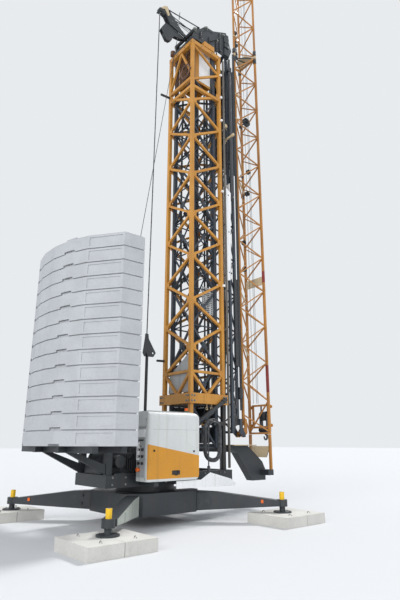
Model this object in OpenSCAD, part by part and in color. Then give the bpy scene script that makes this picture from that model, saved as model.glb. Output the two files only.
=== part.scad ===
// Self-erecting tower crane with its tower lowered and its jib folded.
// The origin is on the slewing axis at ground level. +X points to the jib side,
// +Y to the crane's left and +Z up. All sizes are in millimetres.

/* [Ground support] */
// Distance between neighbouring support spindles
spindle_spacing = 4200; // [4000:50:4400]
// Length of a sleeper pad across its two sleepers
pad_length = 1200; // [1100:10:1300]
// Width of a sleeper pad
pad_width = 1100; // [1000:10:1150]
// Thickness of the sleepers
pad_height = 200; // [180:5:220]

/* [Ballast] */
// Number of stacked concrete blocks
block_count = 14; // [6:1:14]
// Height from one block to the next
block_pitch = 289; // [280:1:295]
// Radius of the block's outer edge about the slewing axis
block_radius = 2640; // [2600:10:2700]

/* [Tower] */
// Forward distance from the slewing axis to the tower's axis
tower_x = 1380; // [1350:10:1400]
// Half the distance between the outer tower's chords
outer_half = 513; // [505:1:520]
// Side of the outer tower's square chords
outer_chord = 90; // [85:5:100]
// Height of one bay of the outer tower's bracing
outer_bay = 1188; // [1150:1:1190]
// Half the distance between the inner tower's chords
inner_half = 385; // [375:1:390]
// Side of the inner tower's square chords
inner_chord = 90; // [80:5:90]

/* [Jib] */
// Half the distance between a jib section's bottom chords
jib_half = 360; // [350:5:370]
// Side of the jib's square chords
jib_chord = 60; // [55:1:64]
// Height of one bay of the outer jib section
jib_bay = 1050; // [1000:10:1060]
// Number of bays in the end section of the jib
tip_bays = 6; // [3:1:6]
// Height of one bay of the end section
tip_bay = 1250; // [1100:10:1280]

/* [Hidden] */
round_fn = 48;
signs = [-1, 1];

spindle_half = spindle_spacing / 2;
spindle_r = 35;
foot_r = 190;
foot_t = 25;
pad_gap = 10;
leg_root = 1150;
leg_tip = spindle_half * sqrt(2);
leg_w = 240;
leg_head_r = 110;
leg_head_top = 455;
frame_bottom = 220;
frame_top = 640;
frame_half = 950;

ring_r = 640;
ring_bore_r = 520;
ring_split = 700;
deck_bottom = 760;
deck_top = 1000;
beam_in = 440;
beam_out = 640;
deck_rear = -1350;
deck_front = 2050;

ballast_bottom = 1550;
block_side = 1860;
block_front = -1440;
joint_h = 24;
joint_inset = 30;
lug_w = 280;
lug_h = 55;
lug_angle = 16.3;
facet_angle = 26.6;
corner_angle = 44;
recess_angle = (facet_angle + corner_angle) / 2;
recess_span = corner_angle - facet_angle;
recess_w = 700;
recess_edge = 40;
recess_depth = 12;

cab_x0 = -760;
cab_x1 = 545;
cab_y0 = -1200;
cab_y1 = -800;
cab_z0 = 880;
cab_z1 = 2230;
cab_round = 120;
cab_edge = 70;
skin = 40;

outer_in = outer_half - outer_chord / 2;
outer_out = outer_half + outer_chord / 2;
base_top = 2740;
base_bottom = 2500;
base_out = outer_half + 95;
level0 = 3260;
outer_bays = 7;
collar_z = level0 + outer_bays * outer_bay;
collar_low = collar_z - 171;
collar_high = collar_z + 119;
collar_h = 90;
top_frame_z = 12950;
top_frame_h = 130;
brace = 62;

inner_bottom = 1500;
inner_top = 13300;
head_box_z = 11900;
inner_bays = 12;
inner_bay = (inner_top - inner_bottom) / inner_bays;
inner_in = inner_half - inner_chord / 2;
inner_out = inner_half + inner_chord / 2;

pin_x = 2360;
pin_z = inner_top + 450;
pin_r = 40;
fold_x = 3010;
fold_z = 1800;
fold_offset = 110;
fold_pin_r = 30;
inner_top_x = fold_x - fold_offset;
outer_top_x = fold_x + fold_offset;
outer_bottom_x = 3750;
section1_low = 1840;
section1_high = pin_z - 190;
section1_bays = 11;
section1_bay = (section1_high - section1_low) / section1_bays;
section2_low = 1840;
section2_first = 2720;
section2_bays = 11;
section2_high = section2_first + section2_bays * jib_bay;
tip_low = section2_high + 90;
jib_brace = 32;

guy_x = -55;
guy_foot_z = 1180;
guy_joint_z = 3620;
guy_pin_r = 34;
guy_socket = [-75, 4111];
guy_top = [13, pin_z + 218];

// Rectangular bar from point a to point b: w in its own upright plane, t across it
module bar(a, b, w, t) {
    d = b - a;
    length = norm(d);
    translate(a) rotate([0, acos(d[2] / length), atan2(d[1], d[0])])
        translate([-w / 2, -t / 2, 0]) cube([w, t, length]);
}

// Upright square tube between two heights
module post(x, y, z0, z1, side) {
    translate([x - side / 2, y - side / 2, z0]) cube([side, side, z1 - z0]);
}

// Box given by its low and high corners
module box(low, high) {
    translate(low) cube(high - low);
}

// Box on one side of the crane: corners are given for the left side and mirrored for the right
module side_box(s, low, high) {
    box([low[0], s > 0 ? low[1] : -high[1], low[2]], [high[0], s > 0 ? high[1] : -low[1], high[2]]);
}

// Cylinder along Y between two Y positions
module pin_y(x, z, y0, y1, r, fn = round_fn) {
    translate([x, y0, z]) rotate([-90, 0, 0]) cylinder(h = y1 - y0, r = r, $fn = fn);
}

// Plate cut from an outline in X and Z, between two Y positions
module plate_xz(points, y0, y1) {
    translate([0, y1, 0]) rotate([90, 0, 0]) linear_extrude(height = y1 - y0) polygon(points);
}

module ground_pads() {
    sleeper = (pad_length - pad_gap) / 2;
    centre = spindle_half + 50;
    color("gainsboro")
        for (sx = signs, sy = signs, k = signs)
            translate([
                sx * centre + k * (sleeper + pad_gap) / 2 - sleeper / 2,
                sy * centre - pad_width / 2, 0
            ])
                cube([sleeper, pad_width, pad_height]);
}

module at_spindles() {
    for (sx = signs, sy = signs) translate([sx * spindle_half, sy * spindle_half, 0]) children();
}

module spindle_feet() {
    socket_h = 80;
    color("dimgray") at_spindles() translate([0, 0, pad_height]) difference() {
        union() {
            cylinder(h = foot_t, r = foot_r, $fn = round_fn);
            cylinder(h = foot_t + socket_h, r = spindle_r + 25, $fn = round_fn);
        }
        translate([0, 0, foot_t]) cylinder(h = socket_h + 1, r = spindle_r + 1, $fn = round_fn);
    }
}

module spindles() {
    color("silver") at_spindles() translate([0, 0, pad_height + foot_t])
        cylinder(h = 360, r = spindle_r, $fn = round_fn);
}

module spindle_caps() {
    cap_h = 150;
    color("gold") at_spindles() translate([0, 0, leg_head_top]) difference() {
        cylinder(h = cap_h, r = 52, $fn = round_fn);
        translate([0, 0, -1]) cylinder(h = 140, r = spindle_r + 1, $fn = round_fn);
    }
}

module outrigger_legs() {
    outline = [[leg_root, 235], [leg_tip - 60, 330], [leg_tip - 60, 440], [1600, 600], [leg_root, 620]];
    color("darkslategray") for (a = [45:90:315]) rotate([0, 0, a]) difference() {
        union() {
            plate_xz(outline, -leg_w / 2, leg_w / 2);
            translate([leg_tip, 0, 320]) cylinder(h = leg_head_top - 320, r = leg_head_r, $fn = round_fn);
        }
        translate([leg_tip, 0, 300]) cylinder(h = 300, r = spindle_r + 1, $fn = round_fn);
    }
}

module undercarriage_frame() {
    corner = leg_root * sqrt(2) - frame_half;
    outline = [
        [frame_half, corner], [corner, frame_half], [-corner, frame_half], [-frame_half, corner],
        [-frame_half, -corner], [-corner, -frame_half], [corner, -frame_half], [frame_half, -corner]
    ];
    color("darkslategray") translate([0, 0, frame_bottom])
        linear_extrude(height = frame_top - frame_bottom) polygon(outline);
}

module slewing_ring(z0, z1, r) {
    translate([0, 0, z0]) difference() {
        cylinder(h = z1 - z0, r = r, $fn = round_fn);
        translate([0, 0, -1]) cylinder(h = z1 - z0 + 2, r = ring_bore_r, $fn = round_fn);
    }
}

module slewing_ring_lower() {
    color("slategray") slewing_ring(frame_top, ring_split - 0.3, ring_r - 20);
}

module slewing_ring_upper() {
    color("slategray") slewing_ring(ring_split, deck_bottom, ring_r);
}

module platform_frame() {
    arm_top = cab_z0;
    color("darkslategray") {
        for (s = signs)
            side_box(s, [deck_rear, beam_in, deck_bottom], [deck_front, beam_out, deck_top]);
        for (x = [deck_rear, -620, 420, deck_front - 120])
            box([x, -beam_in, deck_bottom], [x + 120, beam_in, deck_top]);
        for (x = [-560, 380], s = signs)
            side_box(s, [x, beam_out, arm_top - 90], [x + 100, 1150, arm_top]);
        box([guy_x - 80, -beam_in, deck_bottom], [guy_x + 80, beam_in, deck_bottom + 140]);
        for (s = signs)
            side_box(s, [guy_x - 60, 50, deck_bottom + 140], [guy_x + 60, 71, guy_foot_z + 70]);
    }
}

module ballast_frame() {
    rail = 120;
    rail_y = 540;
    rail_low = ballast_bottom - rail;
    color("darkslategray") {
        for (s = signs) {
            box([-2350, s * rail_y - rail / 2, rail_low], [-1180, s * rail_y + rail / 2, ballast_bottom]);
            box([-1330, s * rail_y - rail / 2, deck_top], [-1200, s * rail_y + rail / 2, rail_low]);
            plate_xz([[-1330, deck_top + 10], [-1330, deck_top + 190], [-1990, rail_low], [-2170, rail_low]],
                s * rail_y - 40, s * rail_y + 40);
        }
        for (x = [-2200, -1620])
            box([x, -1600, rail_low], [x + rail, 1600, ballast_bottom]);
    }
}

// Plan of a ballast block, drawn in by the given margin
function block_plan(margin) = let (
    r = block_radius - margin,
    angles = [5.5, lug_angle, facet_angle, corner_angle],
    rim = [for (k = [-4:3]) let (a = k < 0 ? -angles[-k - 1] : angles[k]) [-r * cos(a), r * sin(a)]],
    side = block_side - margin
) concat([[block_front - margin, -side]], rim, [[block_front - margin, side]]);

module ballast_block(index) {
    z0 = ballast_bottom + index * block_pitch;
    top = block_pitch - joint_h;
    translate([0, 0, z0]) {
        difference() {
            linear_extrude(height = top) polygon(block_plan(0));
            for (a = [-lug_angle, lug_angle]) rotate([0, 0, 180 + a])
                box(
                    [block_radius - 170, -lug_w / 2 - 10, -1],
                    [block_radius + 50, lug_w / 2 + 10, lug_h - joint_h + 8]
                );
            for (s = signs) rotate([0, 0, 180 + s * recess_angle]) {
                face = block_radius * cos(recess_span / 2);
                box(
                    [face - recess_depth, -recess_w / 2, recess_edge],
                    [face + 50, recess_w / 2, top - recess_edge]
                );
            }
        }
        translate([0, 0, top]) linear_extrude(height = joint_h) polygon(block_plan(joint_inset));
        for (a = [-lug_angle, lug_angle]) rotate([0, 0, 180 + a])
            box([block_radius - 150, -lug_w / 2, top], [block_radius - 45, lug_w / 2, top + lug_h]);
    }
}

module ballast_blocks(first) {
    color("whitesmoke") for (i = [first:2:block_count - 1]) ballast_block(i);
}

// Cabinet outline in X and Z, with its front corners rounded
module cabinet_profile() {
    low_round = 110;
    union() {
        translate([cab_x0, cab_z0]) square([cab_x1 - cab_x0 - low_round, cab_z1 - cab_z0 - cab_round]);
        translate([cab_x0, cab_z0]) square([cab_x1 - cab_x0 - cab_round, cab_z1 - cab_z0]);
        translate([cab_x0, cab_z0 + low_round])
            square([cab_x1 - cab_x0, cab_z1 - cab_z0 - cab_round - low_round]);
        translate([cab_x1 - cab_round, cab_z1 - cab_round]) circle(r = cab_round, $fn = round_fn);
        translate([cab_x1 - low_round, cab_z0 + low_round]) circle(r = low_round, $fn = round_fn);
    }
}

// Cabinet outline in Y and Z, with the outer top edge rounded
module cabinet_section(margin) {
    union() {
        translate([cab_y0 + margin, cab_z0 - 1])
            square([cab_y1 - cab_y0 - margin, cab_z1 - cab_z0 - cab_round + 1]);
        translate([cab_y0 + cab_round, cab_z0]) square([cab_y1 - cab_y0 - cab_round, cab_z1 - cab_z0]);
        translate([cab_y0 + cab_round, cab_z1 - cab_round]) circle(r = cab_round - margin, $fn = round_fn);
    }
}

// Cabinet plan in X and Y, with its rear outer edge rounded
module cabinet_plan() {
    union() {
        translate([cab_x0, cab_y0 + cab_edge]) square([cab_x1 - cab_x0 + 1, cab_y1 - cab_y0 - cab_edge + 1]);
        translate([cab_x0 + cab_edge, cab_y0 - 1])
            square([cab_x1 - cab_x0 - cab_edge + 1, cab_y1 - cab_y0 + 2]);
        translate([cab_x0 + cab_edge, cab_y0 + cab_edge]) circle(r = cab_edge, $fn = round_fn);
    }
}

module cabinet_body() {
    intersection() {
        translate([0, 0, cab_z0 - 1]) linear_extrude(height = cab_z1 - cab_z0 + 2) cabinet_plan();
        translate([0, cab_y1 + 1, 0]) rotate([90, 0, 0])
            linear_extrude(height = cab_y1 - cab_y0 + 2) cabinet_profile();
        translate([cab_x0 - 1, 0, 0]) rotate([90, 0, 90])
            linear_extrude(height = cab_x1 - cab_x0 + 2) cabinet_section(0);
    }
}

// The space that the lower side panel takes from the cabinet
module side_panel_zone(gap) {
    rear_z = 1590;
    front_z = 1360;
    plate_xz([
        [cab_x0 - 50 - gap, cab_z0 + 45 - gap], [cab_x1 + 50, cab_z0 + 45 - gap],
        [cab_x1 + 50, front_z - 12], [cab_x0 - 50 - gap, rear_z]
    ], cab_y0 - 50, cab_y0 + skin);
}

module cabinet_housing() {
    color("whitesmoke") difference() {
        cabinet_body();
        side_panel_zone(0);
    }
}

module cabinet_side_panel() {
    color("goldenrod") intersection() {
        cabinet_body();
        side_panel_zone(0);
    }
}

module control_panel() {
    color("lightgray") box([cab_x0 - 22, cab_y0 + 70, cab_z0 + 80], [cab_x0, cab_y1 - 40, cab_z1 - 330]);
}

module beacon() {
    x = cab_x1 - cab_round - 45;
    y = -960;
    color("darkgreen") translate([x, y, cab_z1]) cylinder(h = 45, r = 45, $fn = round_fn);
    color("orange") translate([x, y, cab_z1 + 45]) cylinder(h = 60, r = 38, $fn = round_fn);
}

module hoist_winch() {
    axis_x = -1020;
    axis_z = 1250;
    color("dimgray") {
        pin_y(axis_x, axis_z, -310, 310, 170);
        for (y = [-330, 310]) pin_y(axis_x, axis_z, y, y + 20, 235);
        for (y = [-390, 350]) box([axis_x - 150, y, deck_top], [axis_x + 150, y + 40, axis_z + 120]);
        for (y = [-350, 330]) pin_y(axis_x, axis_z, y, y + 20, 60);
        pin_y(axis_x, axis_z, -620, -390, 120);
        box([axis_x - 150, -beam_out, deck_top], [axis_x + 150, beam_out, deck_top + 25]);
    }
}

module power_unit() {
    color("dimgray") {
        box([-560, -400, deck_top], [-120, 400, 1420]);
        translate([-340, 180, 1420]) cylinder(h = 160, r = 110, $fn = round_fn);
    }
}

module side_aprons() {
    outer = 1150;
    t = 15;
    under_cabinet = cab_z0 - 15;
    outline = [
        [-20, 720], [1640, 700], [1640, 760], [1500, 850], [900, 1000],
        [640, under_cabinet], [-20, under_cabinet]
    ];
    color("whitesmoke") for (s = signs) {
        plate_xz(outline, s > 0 ? outer : -outer - t, s > 0 ? outer + t : -outer);
        for (x = [600, 1150])
            side_box(s, [x, beam_out, 800], [x + 60, outer, 860]);
    }
}

module at_tower_corners(half) {
    for (sx = signs, sy = signs) translate([tower_x + sx * half, sy * half, 0]) children();
}

module tower_foot() {
    rung = 90;
    color("goldenrod") {
        at_tower_corners(outer_half) post(0, 0, deck_top, base_bottom, outer_chord);
        for (sy = signs) {
            box([tower_x - outer_in, sy * outer_half - outer_chord / 2, hook_z - rung / 2],
                [tower_x + outer_in, sy * outer_half + outer_chord / 2, hook_z + rung / 2]);
        }
    }
}

module tower_base_frame() {
    out = base_out;
    in = outer_in - 10;
    color("goldenrod") difference() {
        box([tower_x - out, -out, base_bottom], [tower_x + out, out, base_top]);
        box([tower_x - in, -in, base_bottom - 1], [tower_x + in, in, base_top + 1]);
    }
}

// Zigzag bracing of one tower side. p(h, s) gives the point at height h on chord s.
module outer_zigzag(plane) {
    mid_top = (collar_z + top_frame_z) / 2 + 100;
    for (k = [0:outer_bays - 1]) {
        low = level0 + k * outer_bay;
        mid = low + outer_bay / 2;
        side_bar(plane, -1, low, 1, mid);
        side_bar(plane, 1, mid, -1, low + outer_bay);
    }
    side_bar(plane, -1, level0, 0, base_top - 20, brace - 8);
    side_bar(plane, 1, level0, 0, base_top - 20, brace - 8);
    side_bar(plane, -1, level0, 1, level0, brace - 12);
    if (plane == "left" || plane == "right") {
        side_bar(plane, 1, collar_high, -1, mid_top, brace - 10);
        side_bar(plane, -1, mid_top, 1, top_frame_z, brace - 16);
    } else for (s = signs)
        side_bar(plane, s, collar_high + 150, 0, top_frame_z, brace - 10);
}

// One bracing bar of a side. "rear" picks the plane, s0 and s1 are chord sides or 0 for the middle.
module side_bar(plane, s0, z0, s1, z1, t = brace - 4) {
    bar(side_point(plane, s0, z0, outer_half), side_point(plane, s1, z1, outer_half), brace, t);
}

// Chord point of a tower side. The zigzags start on two opposite corner chords.
function side_point(plane, s, z, half) =
    plane == "rear" ? [tower_x - half, -s * half, z] :
    plane == "front" ? [tower_x + half, s * half, z] :
    plane == "right" ? [tower_x - s * half, -half, z] :
    [tower_x + s * half, half, z];

module outer_chords(sx) {
    for (sy = signs) post(tower_x + sx * outer_half, sy * outer_half, base_top, top_frame_z, outer_chord);
}

module outer_tower_rear() {
    color("goldenrod") {
        outer_chords(-1);
        between_frames() outer_zigzag("rear");
        for (z = [collar_low, collar_high])
            box([tower_x - outer_out, -outer_in, z], [tower_x - outer_in, outer_in, z + collar_h]);
    }
}

module outer_tower_front() {
    color("goldenrod") {
        outer_chords(1);
        between_frames() outer_zigzag("front");
    }
}

// What lies between the tower's base frame and its top frame, within the given half width in X
module between_frames(half = outer_out) {
    intersection() {
        children();
        box([tower_x - half, -outer_out, base_top], [tower_x + half, outer_out, top_frame_z]);
    }
}

module outer_tower_sides() {
    color("goldenrod") {
        between_frames(outer_in) {
            for (plane = ["left", "right"]) outer_zigzag(plane);
        }
        for (s = signs)
            side_box(
                s, [tower_x - outer_in, outer_in, collar_low],
                [tower_x + outer_in, outer_out, collar_low + collar_h]
            );
    }
}

module tower_top_frame() {
    out = outer_out + 5;
    in = inner_out + 12;
    guide = inner_out + 0.5;
    high = top_frame_z + top_frame_h;
    color("goldenrod") {
        difference() {
            box([tower_x - out, -out, top_frame_z], [tower_x + out, out, high]);
            box([tower_x - in, -in, top_frame_z - 1], [tower_x + in, in, high + 1]);
        }
        for (s = signs, sx = signs) {
            side_box(
                s, [tower_x + sx * inner_half - 30, guide, top_frame_z],
                [tower_x + sx * inner_half + 30, in, high]
            );
            translate([tower_x, 0, 0]) rotate([0, 0, 90])
                side_box(s, [sx * inner_half - 30, guide, top_frame_z], [sx * inner_half + 30, in, high]);
        }
    }
}

erect_low = [-330, 1180];
erect_high = [1850, 2620];
erect_y = 655;
erect_split = 0.8;
erect_r = 65;

module erect_bar(f0, f1, r) {
    run = erect_high - erect_low;
    a = erect_low + run * f0;
    b = erect_low + run * f1;
    length = norm(b - a);
    for (s = signs) translate([a[0], s * erect_y, a[1]]) rotate([0, atan2(b[0] - a[0], b[1] - a[1]), 0])
        cylinder(h = length, r = r, $fn = round_fn);
}

module erecting_cylinders() {
    color("darkslategray") {
        erect_bar(0, erect_split, erect_r);
        for (s = signs) {
            pin_y(erect_low[0], erect_low[1], s * erect_y - 38, s * erect_y + 38, 60);
            side_box(
                s, [erect_low[0] - 60, 590, deck_top],
                [erect_low[0] + 60, erect_y - 38, erect_low[1] + 60]
            );
        }
    }
}

module erecting_rods() {
    color("silver") {
        erect_bar(erect_split, 1, 26);
        for (s = signs)
            pin_y(
                erect_high[0], erect_high[1],
                s > 0 ? base_out : -erect_y - 30, s > 0 ? erect_y + 30 : -base_out, 45
            );
    }
}

module rear_guy_rods() {
    color("darkslategray") {
        for (s = signs) translate([guy_x, s * 30, guy_foot_z])
            cylinder(h = guy_joint_z - guy_foot_z, r = 18, $fn = round_fn);
        for (z = [guy_foot_z, guy_joint_z]) pin_y(guy_x, z, -50, 50, guy_pin_r);
    }
}

module guy_link_plate() {
    t = 24;
    color("darkslategray") difference() {
        plate_xz([
            [-130, 3560], [125, 3570], [190, 3670], [-20, 3990], [guy_socket[0] + 40, guy_socket[1] - 1],
            [guy_socket[0] - 40, guy_socket[1] - 1], [-125, 3990], [-175, 3640]
        ], -t / 2, t / 2);
        pin_y(guy_x, guy_joint_z, -50, 50, guy_pin_r + 1);
        pin_y(110, 3660, -50, 50, 25);
    }
}

module rear_guy_rope() {
    color("dimgray") bar([guy_socket[0], 0, guy_socket[1]], [guy_top[0], 0, guy_top[1]], 26, 26);
}

module jib_rest() {
    y = 110;
    plate_z = 1540;
    root_x = tower_x + outer_out;
    saddle_x = outer_bottom_x - 150;
    end_x = outer_bottom_x + 50;
    color("darkslategray") {
        box([root_x, -540, plate_z - 140], [root_x + 87, 540, plate_z]);
        plate_xz([
            [root_x + 87, plate_z - 120], [root_x + 87, plate_z], [3150, plate_z], [3690, 1135], [end_x, 940],
            [end_x, 670], [3300, 670], [3180, 830], [2760, plate_z - 180], [2640, plate_z - 120]
        ], -y, y);
        for (s = signs)
            side_box(s, [saddle_x, y, 800], [end_x, jib_half + 40, 940]);
    }
    color("goldenrod") for (s = signs)
        post(outer_bottom_x, s * jib_half, 940, section2_low - 25, jib_chord);
    post_in = jib_half - jib_chord / 2;
    color("tan") {
        box([2430, -330, plate_z], [3250, 330, plate_z + 25]);
        translate([outer_bottom_x - 10, 0, 0]) rotate([90, 0, 90]) linear_extrude(height = 20)
            polygon([
                [-post_in, 1530], [post_in, 1530], [post_in, 1480],
                [220, 1240], [-220, 1240], [-post_in, 1480]
            ]);
    }
}

module conduit_pipe() {
    x = tower_x + base_out + 33;
    y = -outer_out - 25;
    pipe_top = top_frame_z - 10;
    clamp_pitch = 1500;
    first_clamp = base_top + 160;
    clamp_z = [for (k = [0:floor((pipe_top - first_clamp) / clamp_pitch)]) first_clamp + k * clamp_pitch];
    color("darkgray") {
        translate([x, y, deck_top + 40]) cylinder(h = pipe_top - deck_top - 40, r = 32, $fn = round_fn);
        for (z = clamp_z) box([tower_x + outer_out, y - 20, z], [x, 30 - outer_out, z + 40]);
    }
}

cable_r = 15;
cable_pitch = 31;
coil_x = 1240;
coil_y = -870;
coil_mid = 1670;
coil_round = 265;
coil_half = 215;
coil_t = 94;
coil_hole_r = coil_round - 92;
hook_z = coil_mid + coil_half + coil_hole_r;
gland = [1490, -beam_out, 880];
gland_length = 50;
tail_y = coil_y + cable_pitch;
free_tail = [coil_x - coil_hole_r - cable_r, coil_y - coil_t / 2 - cable_r];
tail_top = coil_mid + coil_half - 15;
plug_top = 1120;

module cable_fittings() {
    color("darkslategray") {
        box([coil_x - 30, coil_y + coil_t / 2 + 10, hook_z - 30], [coil_x + 30, -outer_out, hook_z + 30]);
        pin_y(coil_x, hook_z - 30, coil_y - coil_t / 2 - 30, coil_y + coil_t / 2 + 20, 30);
        pin_y(gland[0], gland[2], gland[1] - gland_length, gland[1], cable_r + 9);
    }
}

// Round tube swept along a list of points that lie in one upright plane across X
module tube(points, r) {
    sides = 10;
    last = len(points) - 1;
    function along(i) = points[min(i + 1, last)] - points[max(i - 1, 0)];
    function ring(i) = let (d = along(i) / norm(along(i)), n = [0, -d[2], d[1]])
        [for (k = [0:sides - 1]) let (a = 360 * k / sides) points[i] + r * (cos(a) * [1, 0, 0] + sin(a) * n)];
    polyhedron(
        points = [for (i = [0:last]) each ring(i)],
        faces = concat(
            [[for (k = [0:sides - 1]) k]],
            [for (i = [0:last - 1], k = [0:sides - 1])
                let (a = i * sides + k, b = i * sides + (k + 1) % sides)
                each [[a, a + sides, b], [b, a + sides, b + sides]]],
            [[for (k = [sides - 1:-1:0]) last * sides + k]]
        )
    );
}

module cable_tails() {
    x = gland[0];
    color("dimgray") {
        tube([
            [x, -690, 880], [x, -715, 880], [x, -750, 888], [x, -788, 912],
            [x, -820, 955], [x, -836, 1020], [x, tail_y, 1100],
            [x, tail_y, 1170], [x, tail_y, 1240], [x, tail_y, 1310], [x, tail_y, 1380]
        ], cable_r);
        tube(
            [for (k = [0:10]) [free_tail[0], free_tail[1], tail_top - k * (tail_top - plug_top) / 10]],
            cable_r
        );
    }
}

module cable_plug() {
    color("dimgray") translate([free_tail[0], free_tail[1], plug_top - 130])
        cylinder(h = 130, r = 34, $fn = round_fn);
}

module coil_outline(r) {
    for (s = signs) translate([coil_x, coil_mid + s * coil_half]) circle(r = r, $fn = round_fn);
    translate([coil_x - r, coil_mid - coil_half]) square([2 * r, 2 * coil_half]);
}

module cable_hank() {
    color("dimgray") translate([0, coil_y + coil_t / 2, 0]) rotate([90, 0, 0]) linear_extrude(height = coil_t)
        difference() {
            coil_outline(coil_round);
            coil_outline(coil_hole_r);
        }
}

module inner_zigzag(plane) {
    for (k = [0:inner_bays - 1]) {
        low = inner_bottom + k * inner_bay;
        high = min(low + inner_bay, head_box_z);
        s = k % 2 == 0 ? -1 : 1;
        if (high > low)
            bar(
                side_point(plane, s, low + 20, inner_half),
                side_point(plane, -s, high - 20, inner_half), 50, 46
            );
    }
}

module inner_side(sx, plane) {
    for (sy = signs) post(tower_x + sx * inner_half, sy * inner_half, inner_bottom, inner_top, inner_chord);
    inner_zigzag(plane);
    for (z = [inner_bottom, inner_top - 90])
        box(
            [tower_x + sx * inner_half - 40, -inner_in, z],
            [tower_x + sx * inner_half + 40, inner_in, z + 90]
        );
}

module inner_tower_rear() {
    color("slategray") inner_side(-1, "rear");
}

module inner_tower_front() {
    color("slategray") inner_side(1, "front");
}

module inner_tower_sides() {
    color("slategray") intersection() {
        for (plane = ["left", "right"]) inner_zigzag(plane);
        box([tower_x - inner_in, -inner_out, inner_bottom], [tower_x + inner_in, inner_out, inner_top]);
    }
}

module head_box() {
    half = inner_in - 8;
    wall = 12;
    color("goldenrod") difference() {
        box([tower_x - half, -half, head_box_z], [tower_x + half, half, inner_top]);
        box(
            [tower_x - half + wall, -half + wall, head_box_z - 1],
            [tower_x + half - wall, half - wall, inner_top + 1]
        );
    }
}

head_plate_y = 430;
head_plate_t = 30;
head_plate_in = head_plate_y - head_plate_t / 2;

module tower_head() {
    foot = inner_top + 90;
    head_mid = tower_x + 10;
    head_half = 440;
    head_open = 290;
    tie_foot = pin_z + 210;
    outline = [
        [tower_x - 430, foot], [tower_x - 410, inner_top + 220],
        [tower_x + 60, inner_top + 740], [tower_x + 380, inner_top + 760],
        [pin_x - 50, pin_z + 610], [pin_x + 120, pin_z + 180], [pin_x + 180, pin_z + 10],
        [pin_x + 40, pin_z - 400], [tower_x + 450, foot]
    ];
    color("darkslategray") {
        difference() {
            for (s = signs)
                plate_xz(outline, s * head_plate_y - head_plate_t / 2, s * head_plate_y + head_plate_t / 2);
            pin_y(pin_x, pin_z, -head_plate_y - 50, head_plate_y + 50, pin_r);
        }
        difference() {
            box(
                [head_mid - head_half, -head_plate_y - 15, inner_top],
                [head_mid + head_half, head_plate_y + 15, foot]
            );
            box(
                [head_mid - head_open, -300, inner_top - 1],
                [head_mid + head_open, 300, foot + 1]
            );
        }
        pin_y(pin_x - 180, pin_z + 410, -head_plate_y, head_plate_y, 60);
        pin_y(tie_head[0], tie_foot, -head_plate_y, head_plate_y, 70);
        pin_y(pin_x - 460, pin_z + 10, -head_plate_y, head_plate_y, 60);
        for (s = signs)
            plate_xz([
                [tie_head[0] - 110, tie_foot], [tie_head[0] + 110, tie_foot],
                [tie_head[0] + 45, tie_head[1] + 45], [tie_head[0] - 45, tie_head[1] + 45]
            ], s > 0 ? tie_y - 35 : -tie_y + 15, s > 0 ? tie_y - 15 : -tie_y + 35);
        pin_y(tie_head[0], tie_head[1], -tie_y - 15, tie_y + 15, 20);
    }
}

module jib_pin() {
    color("silver") for (s = signs)
        pin_y(
            pin_x, pin_z,
            s > 0 ? jib_half - 50 : -head_plate_y - 45, s > 0 ? head_plate_y + 45 : -jib_half + 50, pin_r
        );
}

strut_foot = [1000, pin_z - 130];
strut_tip = [13, pin_z + 280];
strut_tip_r = 60;
strut_y = 60;
strut_t = 30;
tie_head = [1450, pin_z + 510];
tie_tip = [300, pin_z + 380];
tie_y = 110;

// Outline given by heights above the jib's pin
function from_pin(points) = [for (p = points) [p[0], p[1] + pin_z]];

module guy_strut() {
    arm = from_pin([
        [-60, 200], [0, 310], [110, 440], [220, 490], [290, 420], [430, 290], [590, 150], [750, 0],
        [930, -100], [1055, -110], [1000, -185], [900, -210], [640, -150], [370, -90], [290, 50],
        [190, 190], [60, 230]
    ]);
    cheek = from_pin([[-20, 270], [110, 440], [230, 500], [320, 210], [250, 150], [130, 330]]);
    color("darkslategray") {
        for (s = signs)
            plate_xz(arm, s > 0 ? strut_y : -strut_y - strut_t, s > 0 ? strut_y + strut_t : -strut_y);
        pin_y(strut_foot[0], strut_foot[1], -head_plate_in, head_plate_in, 55);
        translate([strut_tip[0], 0, strut_tip[1]])
            rotate([0, 180, 0]) pin_y(0, 0, -strut_y, strut_y, strut_tip_r);
        pin_y(tie_tip[0], tie_tip[1], -tie_y - 15, tie_y + 15, 22);
        for (s = signs)
            bar(
                [tie_tip[0] + 10, s * tie_y, tie_tip[1]],
                [tie_head[0] - 20.6, s * tie_y, tie_head[1]], 26, 20
            );
    }
    color("tan") for (s = signs)
        plate_xz(
            cheek, s > 0 ? strut_y + strut_t : -strut_y - strut_t - 8,
            s > 0 ? strut_y + strut_t + 8 : -strut_y - strut_t
        );
}

module strut_sheaves() {
    housing = from_pin([
        [190, -110], [64, -362], [60, -439], [242, -695], [370, -670], [530, -384], [760, -340],
        [880, -280], [900, -210], [640, -150], [370, -100]
    ]);
    axle = [300, pin_z - 520];
    color("dimgray") {
        for (s = signs) pin_y(axle[0], axle[1], s * 22 - 16, s * 22 + 16, 140);
        pin_y(axle[0], axle[1], -58, 58, 30);
        for (s = signs) plate_xz(housing, s * 48 - 6, s * 48 + 6);
        box([520, -strut_y, pin_z - 210], [600, strut_y, pin_z - 50]);
    }
}

// Corner points of the inner jib section: bottom chords by side, top chord by 0
function section1_point(s, z) = s == 0 ? [inner_top_x, 0, z] : [pin_x, s * jib_half, z];
function section2_point(s, z) = s == 0 ? [outer_top_x, 0, z] : [outer_bottom_x, s * jib_half, z];

// Zigzag on a face between two lines, n bays of height step from z0
module zigzag(p, step) {
    for (k = [0:len(p) - 2]) bar(p[k], p[k + 1], step, step);
}

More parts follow.
